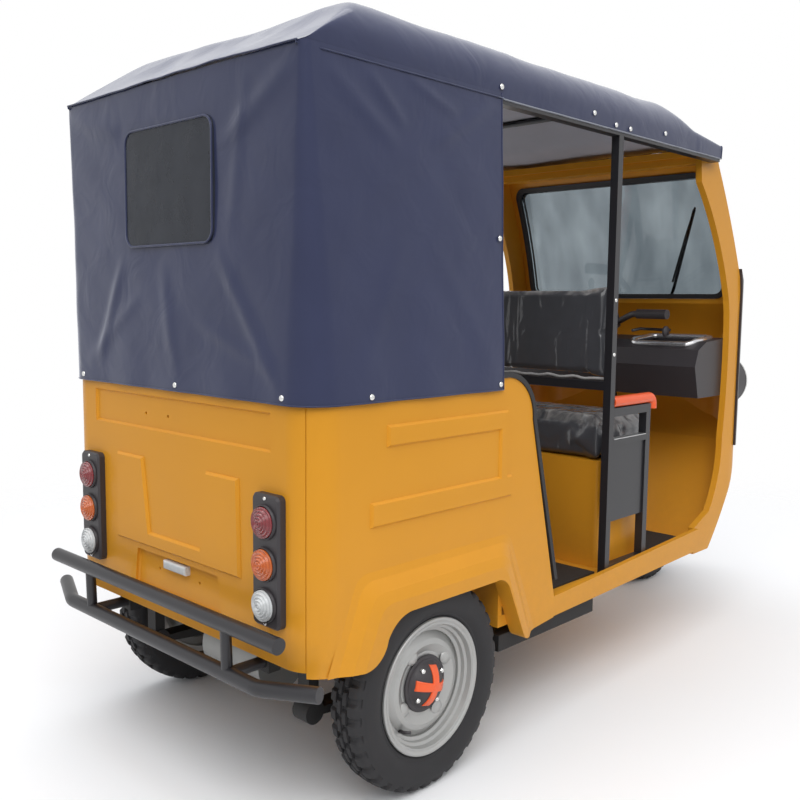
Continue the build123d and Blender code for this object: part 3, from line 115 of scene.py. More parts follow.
def node(tree, kind, sockets=None, **settings):
    """Adds a shader node; a socket takes a value, an output, or a node for its first output."""
    item = tree.nodes.new("ShaderNode" + kind)
    for key, value in settings.items():
        setattr(item, key, value)
    for key, value in (sockets or {}).items():
        if isinstance(value, bpy.types.Node):
            value = value.outputs[0]
        if isinstance(value, bpy.types.NodeSocket):
            tree.links.new(value, item.inputs[key])
        else:
            item.inputs[key].default_value = value
    return item


def speckle(tree, coords, size_mm, detail, **more):
    """Noise texture that repeats about once in a real length."""
    return node(tree, "TexNoise", {"Vector": coords, "Scale": 1000.0 / size_mm, "Detail": detail, **more})


def bump(tree, height, strength, distance, under=None):
    """Relief of a texture, on top of another relief if one is given."""
    sockets = {"Height": height, "Strength": strength, "Distance": distance}
    return node(tree, "Bump", sockets | ({"Normal": under} if under else {}))


def ramp(tree, value, low, high, start=0.0, end=1.0, **settings):
    """Value carried from one range to another, start to low and end to high."""
    return node(tree, "MapRange", {"Value": value, "From Min": start, "From Max": end, "To Min": low,
                                   "To Max": high}, **settings)


def blend(tree, share, first, second):
    """Mix of two colours."""
    return node(tree, "Mix", {0: share, 6: first, 7: second}, data_type="RGBA").outputs[2]


def begin(name):
    """New material with an empty tree, and the texture coordinates in it."""
    mat = bpy.data.materials.new(name)
    mat.use_nodes = True
    mat.node_tree.nodes.clear()
    return mat, mat.node_tree, node(mat.node_tree, "TexCoord").outputs["Object"]


def finish_with(mat, shader):
    node(mat.node_tree, "OutputMaterial", {"Surface": shader})
    return mat


def tinted(tree, base, size_mm, spread, coords):
    """Base colour that wanders a little in lightness over a real length."""
    wander = speckle(tree, coords, size_mm, 3.0)
    lift = ramp(tree, wander, 1 - spread, 1 + spread)
    return node(tree, "HueSaturation", {"Value": lift, "Color": base})


# Dust on the paint starts below the top height and is full at the low one, in m.
DUST_TOP, DUST_LOW = 0.62, 0.28


@cache
def yellow_enamel():
    """Sprayed yellow enamel: a clear gloss over a faint orange peel, dusty near the ground."""
    mat, tree, coords = begin("yellow_enamel")
    paint = tinted(tree, tint("yellow"), 260, 0.05, coords)
    height = node(tree, "SeparateXYZ", {"Vector": coords}).outputs["Z"]
    low = ramp(tree, height, 0.0, 0.32, DUST_TOP, DUST_LOW)
    specks = speckle(tree, coords, 28, 6.0, Roughness=0.7)
    dust = node(tree, "Math", {0: low, 1: specks}, operation="MULTIPLY")
    dusty = blend(tree, dust, paint, linear("8A6A3C"))
    peel = speckle(tree, coords, 2.6, 1.0)
    dents = speckle(tree, coords, 170, 1.0)
    waves = bump(tree, dents, 0.10, 0.012)
    skin = bump(tree, peel, 0.05, 0.001, waves)
    gloss = node(tree, "BsdfPrincipled", {
        "Base Color": dusty, "Roughness": 0.42, "Normal": skin,
        "Specular IOR Level": 0.2, "Coat Weight": 0.12, "Coat Roughness": 0.12, "Coat Normal": waves})
    return finish_with(mat, gloss)


@cache
def coated_cloth():
    """PVC coated canvas: navy face with a woven grain and a soft sheen tinted blue as a painted reflection of
    the sky, grey woven back.
    """
    mat, tree, coords = begin("pvc_coated_canvas")
    face = tinted(tree, tint("navy"), 120, 0.10, coords)
    back = tinted(tree, tint("lining"), 90, 0.06, coords)
    inside = node(tree, "NewGeometry").outputs["Backfacing"]
    both = blend(tree, inside, face, back)
    weave = speckle(tree, coords, 1.6, 2.0)
    creases = speckle(tree, coords, 110, 2.0, Distortion=1.2)
    rumple = bump(tree, creases, 0.2, 0.010)
    grain = bump(tree, weave, 0.10, 0.0006, rumple)
    rough = ramp(tree, inside, 0.30, 0.85)
    bloom = ramp(tree, inside, 0.34, 0.0)
    gloss = ramp(tree, inside, 1.0, 0.0)
    # Painted reflection: the sheen tint B4C0E4 is blue for the sky mirrored at grazing angles.
    cloth = node(tree, "BsdfPrincipled", {
        "Base Color": both, "Roughness": rough, "Normal": grain,
        "Specular IOR Level": 0.12, "Sheen Weight": bloom, "Sheen Roughness": 0.35,
        "Sheen Tint": linear("B4C0E4"), "Coat Weight": gloss, "Coat Roughness": 0.13, "Coat IOR": 1.2,
        "Coat Normal": rumple})
    return finish_with(mat, cloth)


@cache
def window_film():
    """Tinted soft PVC sheet: smoky, glossy and slightly rippled."""
    mat, tree, coords = begin("tinted_pvc_film")
    ripple = speckle(tree, coords, 85, 2.0)
    wave = bump(tree, ripple, 0.35, 0.008)
    smoke = tinted(tree, linear("3C3F46"), 70, 0.25, coords)
    film = node(tree, "BsdfPrincipled", {
        "Base Color": smoke, "Roughness": 0.12, "Specular IOR Level": 0.15, "Alpha": 0.90, "Normal": wave})
    return finish_with(mat, film)


@cache
def plain(name, base, roughness, grain_mm, grain, spread=0.06, metallic=0.0, coat=0.0):
    """Painted, moulded or rolled surface: slight colour drift, a fine grain and its own gloss."""
    mat, tree, coords = begin(name)
    tone = tinted(tree, base, 60, spread, coords)
    pits = speckle(tree, coords, grain_mm, 3.0)
    relief = bump(tree, pits, grain, 0.001)
    worn = ramp(tree, pits, roughness - 0.05, roughness + 0.08)
    body = node(tree, "BsdfPrincipled", {
        "Base Color": tone, "Roughness": worn, "Metallic": metallic,
        "Coat Weight": coat, "Coat Roughness": 0.08, "Normal": relief})
    return finish_with(mat, body)


@cache
def wrapped_vinyl():
    """Black grained vinyl still in its clear film: sharp broken glints over a dull ground, and pale film in
    the folds, partly whitish creased film and partly painted sheen on upward faces.
    """
    mat, tree, coords = begin("vinyl_in_clear_film")
    tone = tinted(tree, tint("vinyl"), 40, 0.15, coords)
    grain = speckle(tree, coords, 1.8, 2.0)
    skin = bump(tree, grain, 0.2, 0.0006)
    drawn = node(tree, "Mapping", {"Vector": coords, "Scale": (1.0, 1.0, 0.22)})
    long_folds = speckle(tree, drawn, 90, 2.0, Distortion=0.8)
    folds = speckle(tree, coords, 60, 3.0, Distortion=1.4)
    first = bump(tree, long_folds, 0.8, 0.02)
    film = bump(tree, folds, 0.35, 0.008, first)
    # Painted sheen: the pale colour C4C0BB goes only on upward-facing faces, standing for light from above on
    # the clear film; its patches follow the film's folds.
    facing = node(tree, "SeparateXYZ", {"Vector": node(tree, "NewGeometry").outputs["Normal"]}).outputs["Z"]
    level = ramp(tree, facing, 0.0, 1.0, 0.35, 0.85)
    patch = ramp(tree, folds, 0.0, 0.85, 0.30, 0.72)
    film_and_painted_sheen_mask = node(tree, "Math", {0: level, 1: patch}, operation="MULTIPLY")
    film_with_painted_sheen = blend(tree, film_and_painted_sheen_mask, tone, linear("C4C0BB"))
    cover = node(tree, "BsdfPrincipled", {
        "Base Color": film_with_painted_sheen, "Roughness": 0.55, "Normal": skin, "Coat Weight": 0.9,
        "Coat Roughness": 0.06, "Coat IOR": 1.45, "Coat Normal": film})
    return finish_with(mat, cover)


@cache
def clear_glass():
    """Flat laminated windscreen: its grey tint, streaked from top to bottom, is a painted reflection of dim
    surroundings; bright at a slant.
    """
    mat, tree, coords = begin("laminated_glass")
    film = speckle(tree, coords, 240, 4.0)
    haze = ramp(tree, film, 0.02, 0.07)
    shine = node(tree, "BsdfGlossy", {"Color": linear("FFFFFF"), "Roughness": haze})
    # Painted reflection: the see-through colour is darkened to grey between 868E94 and C9D0D3 in vertical
    # bands, standing for the dim surroundings seen in the glass.
    drawn = node(tree, "Mapping", {"Vector": coords, "Scale": (1.0, 1.0, 0.12)})
    painted_reflection_streaks = speckle(tree, drawn, 110, 4.0)
    tone = blend(tree, painted_reflection_streaks, linear("868E94"), linear("C9D0D3"))
    through = node(tree, "BsdfTransparent", {"Color": tone})
    edge = node(tree, "Fresnel", {"IOR": 1.45})
    glass = node(tree, "MixShader", {0: edge, 1: through, 2: shine})
    return finish_with(mat, glass)


@cache
def lens_plastic(name, base, rings_mm):
    """Moulded lamp lens: coloured clear plastic with ribs that catch the light."""
    mat, tree, coords = begin(name)
    ribs = speckle(tree, coords, rings_mm, 1.0)
    relief = bump(tree, ribs, 0.3, 0.002)
    tone = tinted(tree, base, 18, 0.15, coords)
    lens = node(tree, "BsdfPrincipled", {
        "Base Color": tone, "Roughness": 0.24, "Transmission Weight": 0.1, "IOR": 1.49,
        "Normal": relief, "Coat Weight": 0.25, "Coat Roughness": 0.08})
    return finish_with(mat, lens)


def chrome():
    return plain("nickel_plated_brass", linear("D8D8D6"), 0.12, 3.0, 0.02, 0.03, 1.0)


def black_tube():
    return plain("black_sprayed_steel", tint("black"), 0.38, 1.6, 0.06, 0.08, 0.0, 0.1)


def black_moulding():
    return plain("grained_black_moulding", tint("plastic"), 0.45, 0.9, 0.16, 0.08)


def tyre_rubber():
    return plain("dusty_tyre_rubber", tint("rubber"), 0.72, 1.2, 0.22, 0.16)


def orange_moulding():
    return plain("orange_moulding", tint("orange"), 0.36, 1.4, 0.05, 0.04, 0.0, 0.1)


def wheel_silver():
    return plain("silver_wheel_paint", tint("silver"), 0.40, 0.7, 0.06, 0.05, 0.55, 0.1)


CLEAR_LENS = linear("DADCDC")


# Mesh helpers


def corners(name):
    """Low and high corner of a CAD node's box."""
    return tuple(Vector(corner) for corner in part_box(name))


def centre_x(name):
    """Middle of a CAD node along the cart."""
    return sum(corner[0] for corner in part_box(name)) / 2


def piece(name, verts, faces, material, body="body", smooth=True):
    mesh = bpy.data.meshes.new(name)
    mesh.from_pydata([tuple(v) for v in verts], [], faces)
    mesh.materials.append(material)
    mesh.polygons.foreach_set("use_smooth", [smooth] * len(mesh.polygons))
    mesh.update()
    obj = bpy.data.objects.new(name, mesh)
    bpy.context.collection.objects.link(obj)
    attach(obj, body)
    return obj


def grid_faces(rows, columns, wrap_rows=False, wrap_columns=False):
    faces = []
    for i in range(rows if wrap_rows else rows - 1):
        for j in range(columns if wrap_columns else columns - 1):
            k, m = (i + 1) % rows, (j + 1) % columns
            faces.append((i * columns + j, i * columns + m, k * columns + m, k * columns + j))
    return faces


def tube(name, points, radius, material, body="body", sides=8, closed=False):
    """Round bar along a line of points, with its ends capped."""
    points = [Vector(p) for p in points]
    count = len(points)
    verts = []
    guide = None
    for i, point in enumerate(points):
        ahead = points[(i + 1) % count] if closed or i < count - 1 else point
        behind = points[i - 1] if closed or i > 0 else point
        way = (ahead - behind).normalized()
        if guide is None:
            guide = way.orthogonal().normalized()
        guide = (guide - way * guide.dot(way)).normalized()
        cross = way.cross(guide)
        for k in range(sides):
            turn = 2 * pi * k / sides
            verts.append(point + (guide * cos(turn) + cross * sin(turn)) * radius)
    faces = grid_faces(count, sides, closed, True)
    if not closed:
        faces += [tuple(range(sides))[::-1], tuple(range((count - 1) * sides, count * sides))]
    return piece(name, verts, faces, material, body)


def turned(name, profile, centre, axis, material, body="body", steps=48, smooth=True):
    """Surface turned about an axis; a profile row is (along, out)."""
    axis = Vector(axis).normalized()
    side = axis.orthogonal().normalized()
    up = axis.cross(side)
    verts = []
    for k in range(steps):
        turn = 2 * pi * k / steps
        spoke = side * cos(turn) + up * sin(turn)
        verts += [Vector(centre) + axis * along + spoke * out for along, out in profile]
    return piece(name, verts, grid_faces(steps, len(profile), True), material, body, smooth)


def rounded_box(name, centre, size, radius, material, body="body", turn=None):
    """Box with its edges rounded by a bevel modifier."""
    obj = piece(name, [Vector((x, y, z)) for x in (-.5, .5) for y in (-.5, .5) for z in (-.5, .5)],
                [(0, 1, 3, 2), (4, 6, 7, 5), (0, 4, 5, 1), (2, 3, 7, 6), (0, 2, 6, 4), (1, 5, 7, 3)],
                material, body)
    place = Matrix.Translation(centre) @ (turn.to_4x4() if turn else Matrix.Identity(4))
    obj.data.transform(place @ Matrix.Diagonal((*size, 1)))
    bevel = obj.modifiers.new("round", "BEVEL")
    bevel.width = radius
    bevel.segments = 3
    return obj


def soft_min(a, b, width):
    """Lower of two heights with the corner rounded over a width."""
    gap = max(width - abs(a - b), 0) / width
    return min(a, b) - gap * gap * width / 4


def join(name, objects):
    """One piece out of several that share a body."""
    with bpy.context.temp_override(active_object=objects[0], selected_editable_objects=objects):
        bpy.ops.object.join()
    objects[0].name = name
    return objects[0]


# Canopy

HEM_CORNER = 82 * MM
EAVES_CORNER = 18 * MM
SHOULDER = 118 * MM
HIP_RUN, HIP_DROP = 0.194, 0.140
DIP_START, DIP_END, DIP_DROP, FRONT_DROP = 0.353, 0.203, 0.080, 0.108
POST_HALF, BOW_HALF = 0.015, 0.01
BAY_STEPS, ROOF_COLUMNS, CURTAIN_ROWS = 28, 129, 90
SIDE_STEPS, CORNER_STEPS, REAR_STEPS = 52, 14, 100
OVERLAP = 0.012
CLOTH_GAP = 0.0015
REAR_STUDS_Y = (-0.424, -0.024, 0.421)
WINDOW_CUT = 0.012
SEAM_LIFT = 0.003
RIDGE_STEP, RIDGE_ROUND = 0.006, 0.02
# Heights of the roof's noise in m, and the level that its creases stand on.
RIPPLE, CREASE, FINE_CREASE, CREASE_LEVEL = 0.0035, 0.0110, 0.0030, 0.4
FLAP_RUN, FLAP_IN = 0.06, 0.003
SCALLOP_IN, SCALLOP_WAVES = 0.0015, 30
WINDOW_ROUND, FILM_HALF, BORDER_OUT, BORDER_RADIUS = 0.032, 0.0035, 0.004, 0.003
HEM_STUD_UP, STUD_OUT, EAVES_STUD_OUT = 0.014, 0.003, 0.0005
EDGE_STUD_Z, POST_STUD_Z = 1.331, 1.684


def corner_half_width(x, rear_x, half):
    """Half width in plan, round at the rear corners."""
    back = x - rear_x
    if back >= EAVES_CORNER:
        return half
    return half - EAVES_CORNER + sqrt(max(EAVES_CORNER ** 2 - (EAVES_CORNER - back) ** 2, 0))


def ridge_height(x, low, high):
    """Height of the roof's middle line: hip, flat over the bows, then a dip to the cowl."""
    line = ((low[0], high[2] - HIP_DROP), (low[0] + HIP_RUN, high[2]), (high[0] - DIP_START, high[2]),
            (high[0] - DIP_END, high[2] - DIP_DROP), (high[0], high[2] - FRONT_DROP))
    for (x0, z0), (x1, z1) in zip(line, line[1:]):
        if x <= x1:
            break
    return z0 + (z1 - z0) * (x - x0) / (x1 - x0)


def pull(point, start, end, depth, width):
    """Height of a pulled fold at a point of the cloth, fading at both ends."""
    start, end = Vector(start), Vector(end)
    way = end - start
    along = (Vector(point) - start).dot(way) / way.length_squared
    if not -0.15 < along < 1.15:
        return 0.0
    side = (Vector(point) - start - way * along).length
    fade = max(0.0, 1 - abs(2 * along - 1) ** 3)
    return depth * MM * fade * 2.718 ** (-((side / (width * MM)) ** 2))


# A fold has its start and end on the cloth in m, then its depth and width in mm.
REAR_FOLDS = (
    ((-0.42, 0.975), (-0.19, 1.29), 5.0, 20), ((0.20, 1.285), (0.34, 0.99), 4.5, 18),
    ((-0.03, 0.97), (0.03, 1.27), 3, 22), ((-0.48, 1.66), (-0.20, 1.50), 4, 26),
    ((0.48, 1.66), (0.21, 1.58), 4, 24), ((-0.40, 1.02), (-0.10, 1.13), 3, 18),
    ((0.40, 1.00), (0.10, 1.20), 3, 20), ((-0.30, 1.66), (-0.24, 1.30), 2.5, 22),
)
SIDE_FOLDS = (
    ((-1.22, 1.65), (-1.00, 1.50), 4, 20), ((-0.66, 0.99), (-0.93, 1.36), 1.5, 30),
    ((-1.14, 0.98), (-0.98, 1.33), 1.8, 26), ((-0.66, 1.66), (-0.90, 1.52), 3, 16),
    ((-1.10, 1.66), (-0.98, 1.55), 3.5, 14), ((-0.98, 1.665), (-0.80, 1.60), 3, 12),
    ((-1.21, 1.30), (-0.80, 1.62), 1.2, 34),
)


class CART_OT_canopy_roof(bpy.types.Operator):
    """Lays the roof cloth over the bows, with its sag, folds and hems"""
    bl_idname = "cart.canopy_roof"
    bl_label = "Canopy roof"

    def execute(self, context):
        sizes = context.scene.cart_sizes
        low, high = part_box("canopy_roof")
        bow_low, bow_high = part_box("roof_bows")
        half, eaves, top = high[1], low[2], high[2]
        spring = top - SHOULDER
        mid_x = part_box("rear_posts")[1][0] - POST_HALF
        post_x = centre_x("partition_frame")
        bows = [low[0], bow_low[0] + BOW_HALF, mid_x, post_x, bow_high[0] - BOW_HALF, high[0]]
        stations = [a + (b - a) * k / BAY_STEPS
                    for a, b in zip(bows, bows[1:]) for k in range(BAY_STEPS)] + [bows[-1]]
        columns = ROOF_COLUMNS
        side_run = spring - eaves
        reach = side_run + SHOULDER * pi / 2 + half - SHOULDER
        across = [(-1 + 2 * j / (columns - 1)) * reach for j in range(columns)]
        verts = []
        for x in stations:
            wide = corner_half_width(x, low[0], half)
            spread = [min(max(x + k * RIDGE_STEP, low[0]), high[0]) for k in range(-3, 4)]
            cap = sum(ridge_height(at, low, high) for at in spread) / len(spread)
            bay = max(i for i in range(5) if x >= bows[i] - 1e-6)
            part = (x - bows[bay]) / (bows[bay + 1] - bows[bay])
            for s in across:
                run = reach - abs(s)
                if run < side_run:
                    y, z = half, eaves + run
                elif run < side_run + SHOULDER * pi / 2:
                    turn = (run - side_run) / SHOULDER
                    y, z = half - SHOULDER * (1 - cos(turn)), spring + SHOULDER * sin(turn)
                else:
                    y, z = half - SHOULDER - (run - side_run - SHOULDER * pi / 2), top
                y = min(y, wide)
                z = max(soft_min(z, cap, RIDGE_ROUND), eaves)
                crown = 1 - (y / half) ** 4
                z -= sizes.cloth_sag * sin(pi * part) ** 2 * crown
                z -= RIPPLE * noise.noise((x * 5, s * 9, 3.1)) * crown
                fold = abs(noise.noise((x * 6 + s * 2.5, s * 2.2 - x, 8.4)))
                z += CREASE * (CREASE_LEVEL - fold) * crown
                fine = abs(noise.noise((x * 13 - s * 6, s * 5, 1.7)))
                z += FINE_CREASE * (CREASE_LEVEL - fine) * crown
                flap = max(0.0, 1 - run / FLAP_RUN)
                y -= FLAP_IN * (1 + noise.noise((x * 7, 1 if s > 0 else 9, 0))) * flap
                verts.append(Vector((x, y if s > 0 else -y, z)))
        cloth = coated_cloth()
        faces = [face[::-1] for face in grid_faces(len(stations), columns)]
        roof = piece("roof_cloth", verts, faces, cloth, "body")
        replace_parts(roof, "canopy_roof")
        start = min(i for i, x in enumerate(stations) if x > mid_x)
        for side, column in (("left", columns - 1), ("right", 0)):
            line = [verts[i * columns + column] + Vector((0, 0, -0.001)) for i in range(start, len(stations))]
            tube(f"roof_hem_{side}", line, sizes.piping_radius, hem_piping(), sides=6)
        front_line = [verts[(len(stations) - 1) * columns + j] for j in range(columns)]
        tube("roof_hem_front", front_line, sizes.piping_radius, cloth, sides=6)
        back = [verts[i * columns + columns - 1] + Vector((0, SEAM_LIFT, 0)) for i in range(start, 5, -1)]
        back += [v + Vector((-SEAM_LIFT, 0, 0)) for v in verts[columns - 1::-1] if v.z > eaves + 0.004]
        back += [verts[i * columns] + Vector((0, -SEAM_LIFT, 0)) for i in range(6, start + 1)]
        tube("roof_seam", back, sizes.piping_radius, cloth, sides=6)
        return {"FINISHED"}


def hem_piping():
    return plain("pale_pvc_piping", linear("8F929C"), 0.5, 2.0, 0.05)


class CART_OT_curtain(bpy.types.Operator):
    """Hangs the wrap-round curtain with its window and hems"""
    bl_idname = "cart.curtain"
    bl_label = "Curtain"

    def execute(self, context):
        sizes = context.scene.cart_sizes
        side_low, side_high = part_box("canopy_sides")
        win_low, win_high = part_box("rear_window")
        roof_low, roof_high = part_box("canopy_roof")
        hem, eaves = side_low[2], side_high[2]
        front_x = side_high[0]
        half_low, half_top = side_high[1], roof_high[1] - CLOTH_GAP
        rear_low, rear_top = side_low[0], roof_low[0] + CLOTH_GAP
        rows, cloth = CURTAIN_ROWS, coated_cloth()

        def outline(half, rear_x, corner):
            """Plan points from the right front edge round the back to the left one."""
            points = []
            straight = front_x - rear_x - corner
            for k in range(SIDE_STEPS):
                points.append((front_x - straight * k / SIDE_STEPS, -half, -pi / 2))
            for k in range(CORNER_STEPS):
                turn = pi / 2 * k / CORNER_STEPS
                x, y = rear_x + corner - corner * sin(turn), -half + corner - corner * cos(turn)
                points.append((x, y, -pi / 2 - turn))
            for k in range(REAR_STEPS + 1):
                points.append((rear_x, (-half + corner) + 2 * (half - corner) * k / REAR_STEPS, pi))
            for k in range(1, CORNER_STEPS + 1):
                turn = pi / 2 * k / CORNER_STEPS
                x, y = rear_x + corner - corner * cos(turn), half - corner + corner * sin(turn)
                points.append((x, y, pi - turn))
            for k in range(1, SIDE_STEPS + 1):
                points.append((rear_x + corner + straight * k / SIDE_STEPS, half, pi / 2))
            return points

        low_line = outline(half_low, rear_low, HEM_CORNER)
        top_line = outline(half_top, rear_top, EAVES_CORNER)
        columns = len(low_line)
        verts, total = [], 0.0
        for i in range(rows + 1):
            f = i / rows
            z = hem + (eaves + OVERLAP - hem) * f
            walk = 0.0
            for j in range(columns):
                a, b = low_line[j], top_line[j]
                x, y = a[0] + (b[0] - a[0]) * f, a[1] + (b[1] - a[1]) * f
                if j:
                    walk += hypot(a[0] - low_line[j - 1][0], a[1] - low_line[j - 1][1])
                out = Vector((cos(a[2]), sin(a[2])))
                held = min(1.0, 6 * f, 4 * (1 - f))
                broad = noise.noise((walk * 4 + z * 2.2, z * 3.2, 5.0))
                fine = 0.45 * noise.noise((walk * 9 - z * 7, z * 5, 2.0))
                hang = sizes.cloth_fold * (broad + fine) * held
                scallop = SCALLOP_IN * (1 - f) ** 6 * (1 + sin(walk * SCALLOP_WAVES))
                push = hang + scallop
                if abs(out.x) > 0.9:
                    push += sum(pull((y, z), *fold) for fold in REAR_FOLDS)
                elif abs(out.y) > 0.9:
                    push += sum(pull((x, z), *fold) for fold in SIDE_FOLDS)
                verts.append(Vector((x + out.x * push, y + out.y * push, z)))
            total = walk
        cut = WINDOW_CUT
        faces = []
        for face in grid_faces(rows + 1, columns):
            mid = sum((verts[k] for k in face), Vector()) / 4
            inside = all(win_low[k] + cut < mid[k] < win_high[k] - cut for k in (1, 2))
            if not (inside and mid.x < rear_low + 0.03):
                faces.append(face[::-1])
        curtain = piece("curtain_cloth", verts, faces, cloth, "body")
        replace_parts(curtain, "canopy_rear", "canopy_sides")
        tube("curtain_hem", verts[:columns], sizes.piping_radius, cloth, sides=6)
        for side, column in (("right", 0), ("left", columns - 1)):
            line = [verts[i * columns + column] for i in range(rows + 1)]
            tube(f"curtain_edge_{side}", line, sizes.piping_radius, cloth, sides=6)
        self.window(win_low, win_high, rear_low, rear_top, hem, eaves)
        return {"FINISHED"}

    def window(self, low, high, rear_low, rear_top, hem, eaves):
        """Film pane with a turned and stitched border."""
        points, radius = [], WINDOW_ROUND
        for start, sy, sz in ((0, 1, 1), (1, -1, 1), (2, -1, -1), (3, 1, -1)):
            cy, cz = (high if sy > 0 else low)[1], (high if sz > 0 else low)[2]
            for k in range(9):
                turn = pi / 2 * (start + k / 8)
                points.append((cy - sy * radius + radius * cos(turn), cz - sz * radius + radius * sin(turn)))

        def at(y, z, out):
            return Vector((rear_low + (rear_top - rear_low) * (z - hem) / (eaves - hem) - out, y, z))

        count = len(points)
        mid = (low[1] + high[1]) / 2, (low[2] + high[2]) / 2
        verts = [at(y, z, out) for out in (FILM_HALF, -FILM_HALF) for y, z in points]
        faces = [tuple(range(count)), tuple(range(count, 2 * count))[::-1]]
        faces += [(k, k + count, (k + 1) % count + count, (k + 1) % count) for k in range(count)]
        pane = piece("rear_window_film", verts, faces, window_film(), "body", False)
        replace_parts(pane, "rear_window")
        border = [at(mid[0] + (y - mid[0]) * 0.985, mid[1] + (z - mid[1]) * 0.98, BORDER_OUT)
                  for y, z in points]
        tube("rear_window_border", border, BORDER_RADIUS, coated_cloth(), sides=6, closed=True)
        return pane


class CART_OT_studs(bpy.types.Operator):
    """Sets plated snap studs along the hems"""
    bl_idname = "cart.studs"
    bl_label = "Studs"

    def execute(self, context):
        radius = context.scene.cart_sizes.stud_radius
        side_low, side_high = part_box("canopy_sides")
        hem, half = side_low[2], side_high[1]
        front_x, rear_x = side_high[0], side_low[0]
        top_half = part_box("canopy_roof")[1][1]
        lean = (half - top_half) / (side_high[2] - hem)
        axle_x, post_x = centre_x("rear_axle"), centre_x("partition_frame")
        rows = [((rear_x - 0.002, y, hem + HEM_STUD_UP), (-1, 0, 0)) for y in REAR_STUDS_Y]
        for side in (-1, 1):
            for x, z in ((axle_x - 0.216, hem + 0.012), (front_x - 0.014, hem + HEM_STUD_UP),
                         (front_x - 0.016, EDGE_STUD_Z)):
                rows.append(((x, side * (half - lean * (z - hem) + STUD_OUT), z), (0, side, 0)))
            for x, z in ((front_x - 0.004, 1.698), (axle_x + 0.667, 1.70), (axle_x + 1.074, 1.70)):
                rows.append(((x, side * (top_half + EAVES_STUD_OUT), z), (0, side, 0)))
            for x in (post_x - 0.042, post_x + 0.038):
                rows.append(((x, side * (top_half + EAVES_STUD_OUT), POST_STUD_Z), (0, side, 0)))
        profile = [(-0.002, radius * 0.6), (0.0, radius), (0.0025, radius * 0.93), (0.0045, radius * 0.6),
                   (0.0052, 0.0005)]
        studs = [turned(f"stud_{i}", profile, place, way, chrome(), steps=16)
                 for i, (place, way) in enumerate(rows)]
        join("snap_studs", studs)
        return {"FINISHED"}


# Seats

# A cushion has its mesh size in mm and the most that its cover may move in m.
CUSHIONS = (("driver_backrest", 7, 0.014), ("driver_cushion", 8, 0.016),
            ("passenger_cushion", 9, 0.016), ("passenger_backrest", 9, 0.014))
SIM_STEPS, PRESSURE, STIFFNESS = 16, 4.0, 12.0
COVER_INSET, COVER_IN, COVER_OUT = 0.012, 0.004, 0.010
SEAT_GAP = 0.002


class CART_OT_seats(bpy.types.Operator):
    """Swells the cushions with a cloth simulation"""
    bl_idname = "cart.seats"
    bl_label = "Seats"

    def execute(self, context):
        for name, voxel, cap in CUSHIONS:
            self.pad(context, name, voxel * MM, cap)
        return {"FINISHED"}

    def pad(self, context, name, voxel, cap):
        source = frame["nodes"][name]
        low, high = corners(name)
        mid = (low + high) / 2
        obj = piece(f"{name}_cover", [v.co for v in source.data.vertices],
                    [tuple(p.vertices) for p in source.data.polygons], wrapped_vinyl(), "body")
        shrink = Vector([(h - l - COVER_INSET) / (h - l) for l, h in zip(low, high)])
        for vert in obj.data.vertices:
            vert.co = mid + Vector([(c - m) * s for c, m, s in zip(vert.co, mid, shrink)])
        mesh_at = obj.modifiers.new("skin", "REMESH")
        mesh_at.mode, mesh_at.voxel_size = "VOXEL", voxel
        self.bake(context, obj)
        rest = [v.co.copy() for v in obj.data.vertices]
        cloth = obj.modifiers.new("swell", "CLOTH")
        cloth.settings.use_pressure = True
        cloth.settings.uniform_pressure_force = PRESSURE
        cloth.settings.effector_weights.gravity = 0.0
        cloth.settings.tension_stiffness = cloth.settings.compression_stiffness = STIFFNESS
        cloth.point_cache.frame_start, cloth.point_cache.frame_end = 1, SIM_STEPS
        for step in range(1, SIM_STEPS + 1):
            context.scene.frame_set(step)
        self.bake(context, obj)
        context.scene.frame_set(1)
        floor_z = low[2] + SEAT_GAP
        back_x = low[0] + SEAT_GAP if name == "passenger_backrest" else None
        for vert, start in zip(obj.data.vertices, rest):
            move = vert.co - start
            if move.length > cap:
                vert.co = start + move * (cap / move.length)
            for k in range(3):
                vert.co[k] = min(max(vert.co[k], low[k] - COVER_IN), high[k] + COVER_OUT)
            vert.co.z = max(vert.co.z, floor_z)
            if back_x is not None:
                vert.co.x = max(vert.co.x, back_x)
        obj.modifiers.new("smooth", "SMOOTH").iterations = 2
        self.bake(context, obj)
        obj.data.polygons.foreach_set("use_smooth", [True] * len(obj.data.polygons))
        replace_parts(obj, name)

    def bake(self, context, obj):
        """Applies the modifiers to the mesh."""
        graph = context.evaluated_depsgraph_get()
        mesh = bpy.data.meshes.new_from_object(obj.evaluated_get(graph))
        obj.modifiers.clear()
        obj.data = mesh


# Wheels

# Sections are (out from the wheel's middle plane, radius) in mm.
WALL = ((39.5, 152.8), (39.5, 160), (39.5, 168), (43.5, 172), (45, 176), (44.6, 177.5), (48.5, 185),
        (51.6, 194), (52.6, 203), (52.2, 214), (50.8, 224), (50, 228), (49.2, 230), (47, 237))
TREAD = ((45.4, 241), (43.8, 246), (41, 250), (36, 253), (31, 254.4), (25, 255.4), (19.5, 256),
         (18.5, 256.1), (14.5, 256.4), (13.5, 256.5), (8, 256.9), (2.6, 257), (1.6, 257))
SECTION_HALF, SECTION_CROWN = 52.6, 257
BLOCK_STEPS = 8
ROLLED_EDGE = ((43.6, 149.2), (44.9, 150.2), (45.2, 152), (44.3, 153.6), (44.3, 155.4), (46.2, 157.4),
               (48.2, 160.4), (48.9, 163.2), (47.6, 166), (44.4, 167.2), (40.4, 166.4))
VALVE_ANGLE = 230
CROSS_TURN = 14
# Turned profiles are (along, radius) in m.
NUT = ((0, 0.0065), (0.007, 0.0065), (0.009, 0.005), (0.009, 0.0003))
BOSS = ((0, 0.019), (0.004, 0.016), (0.007, 0.009), (0.008, 0.0005))


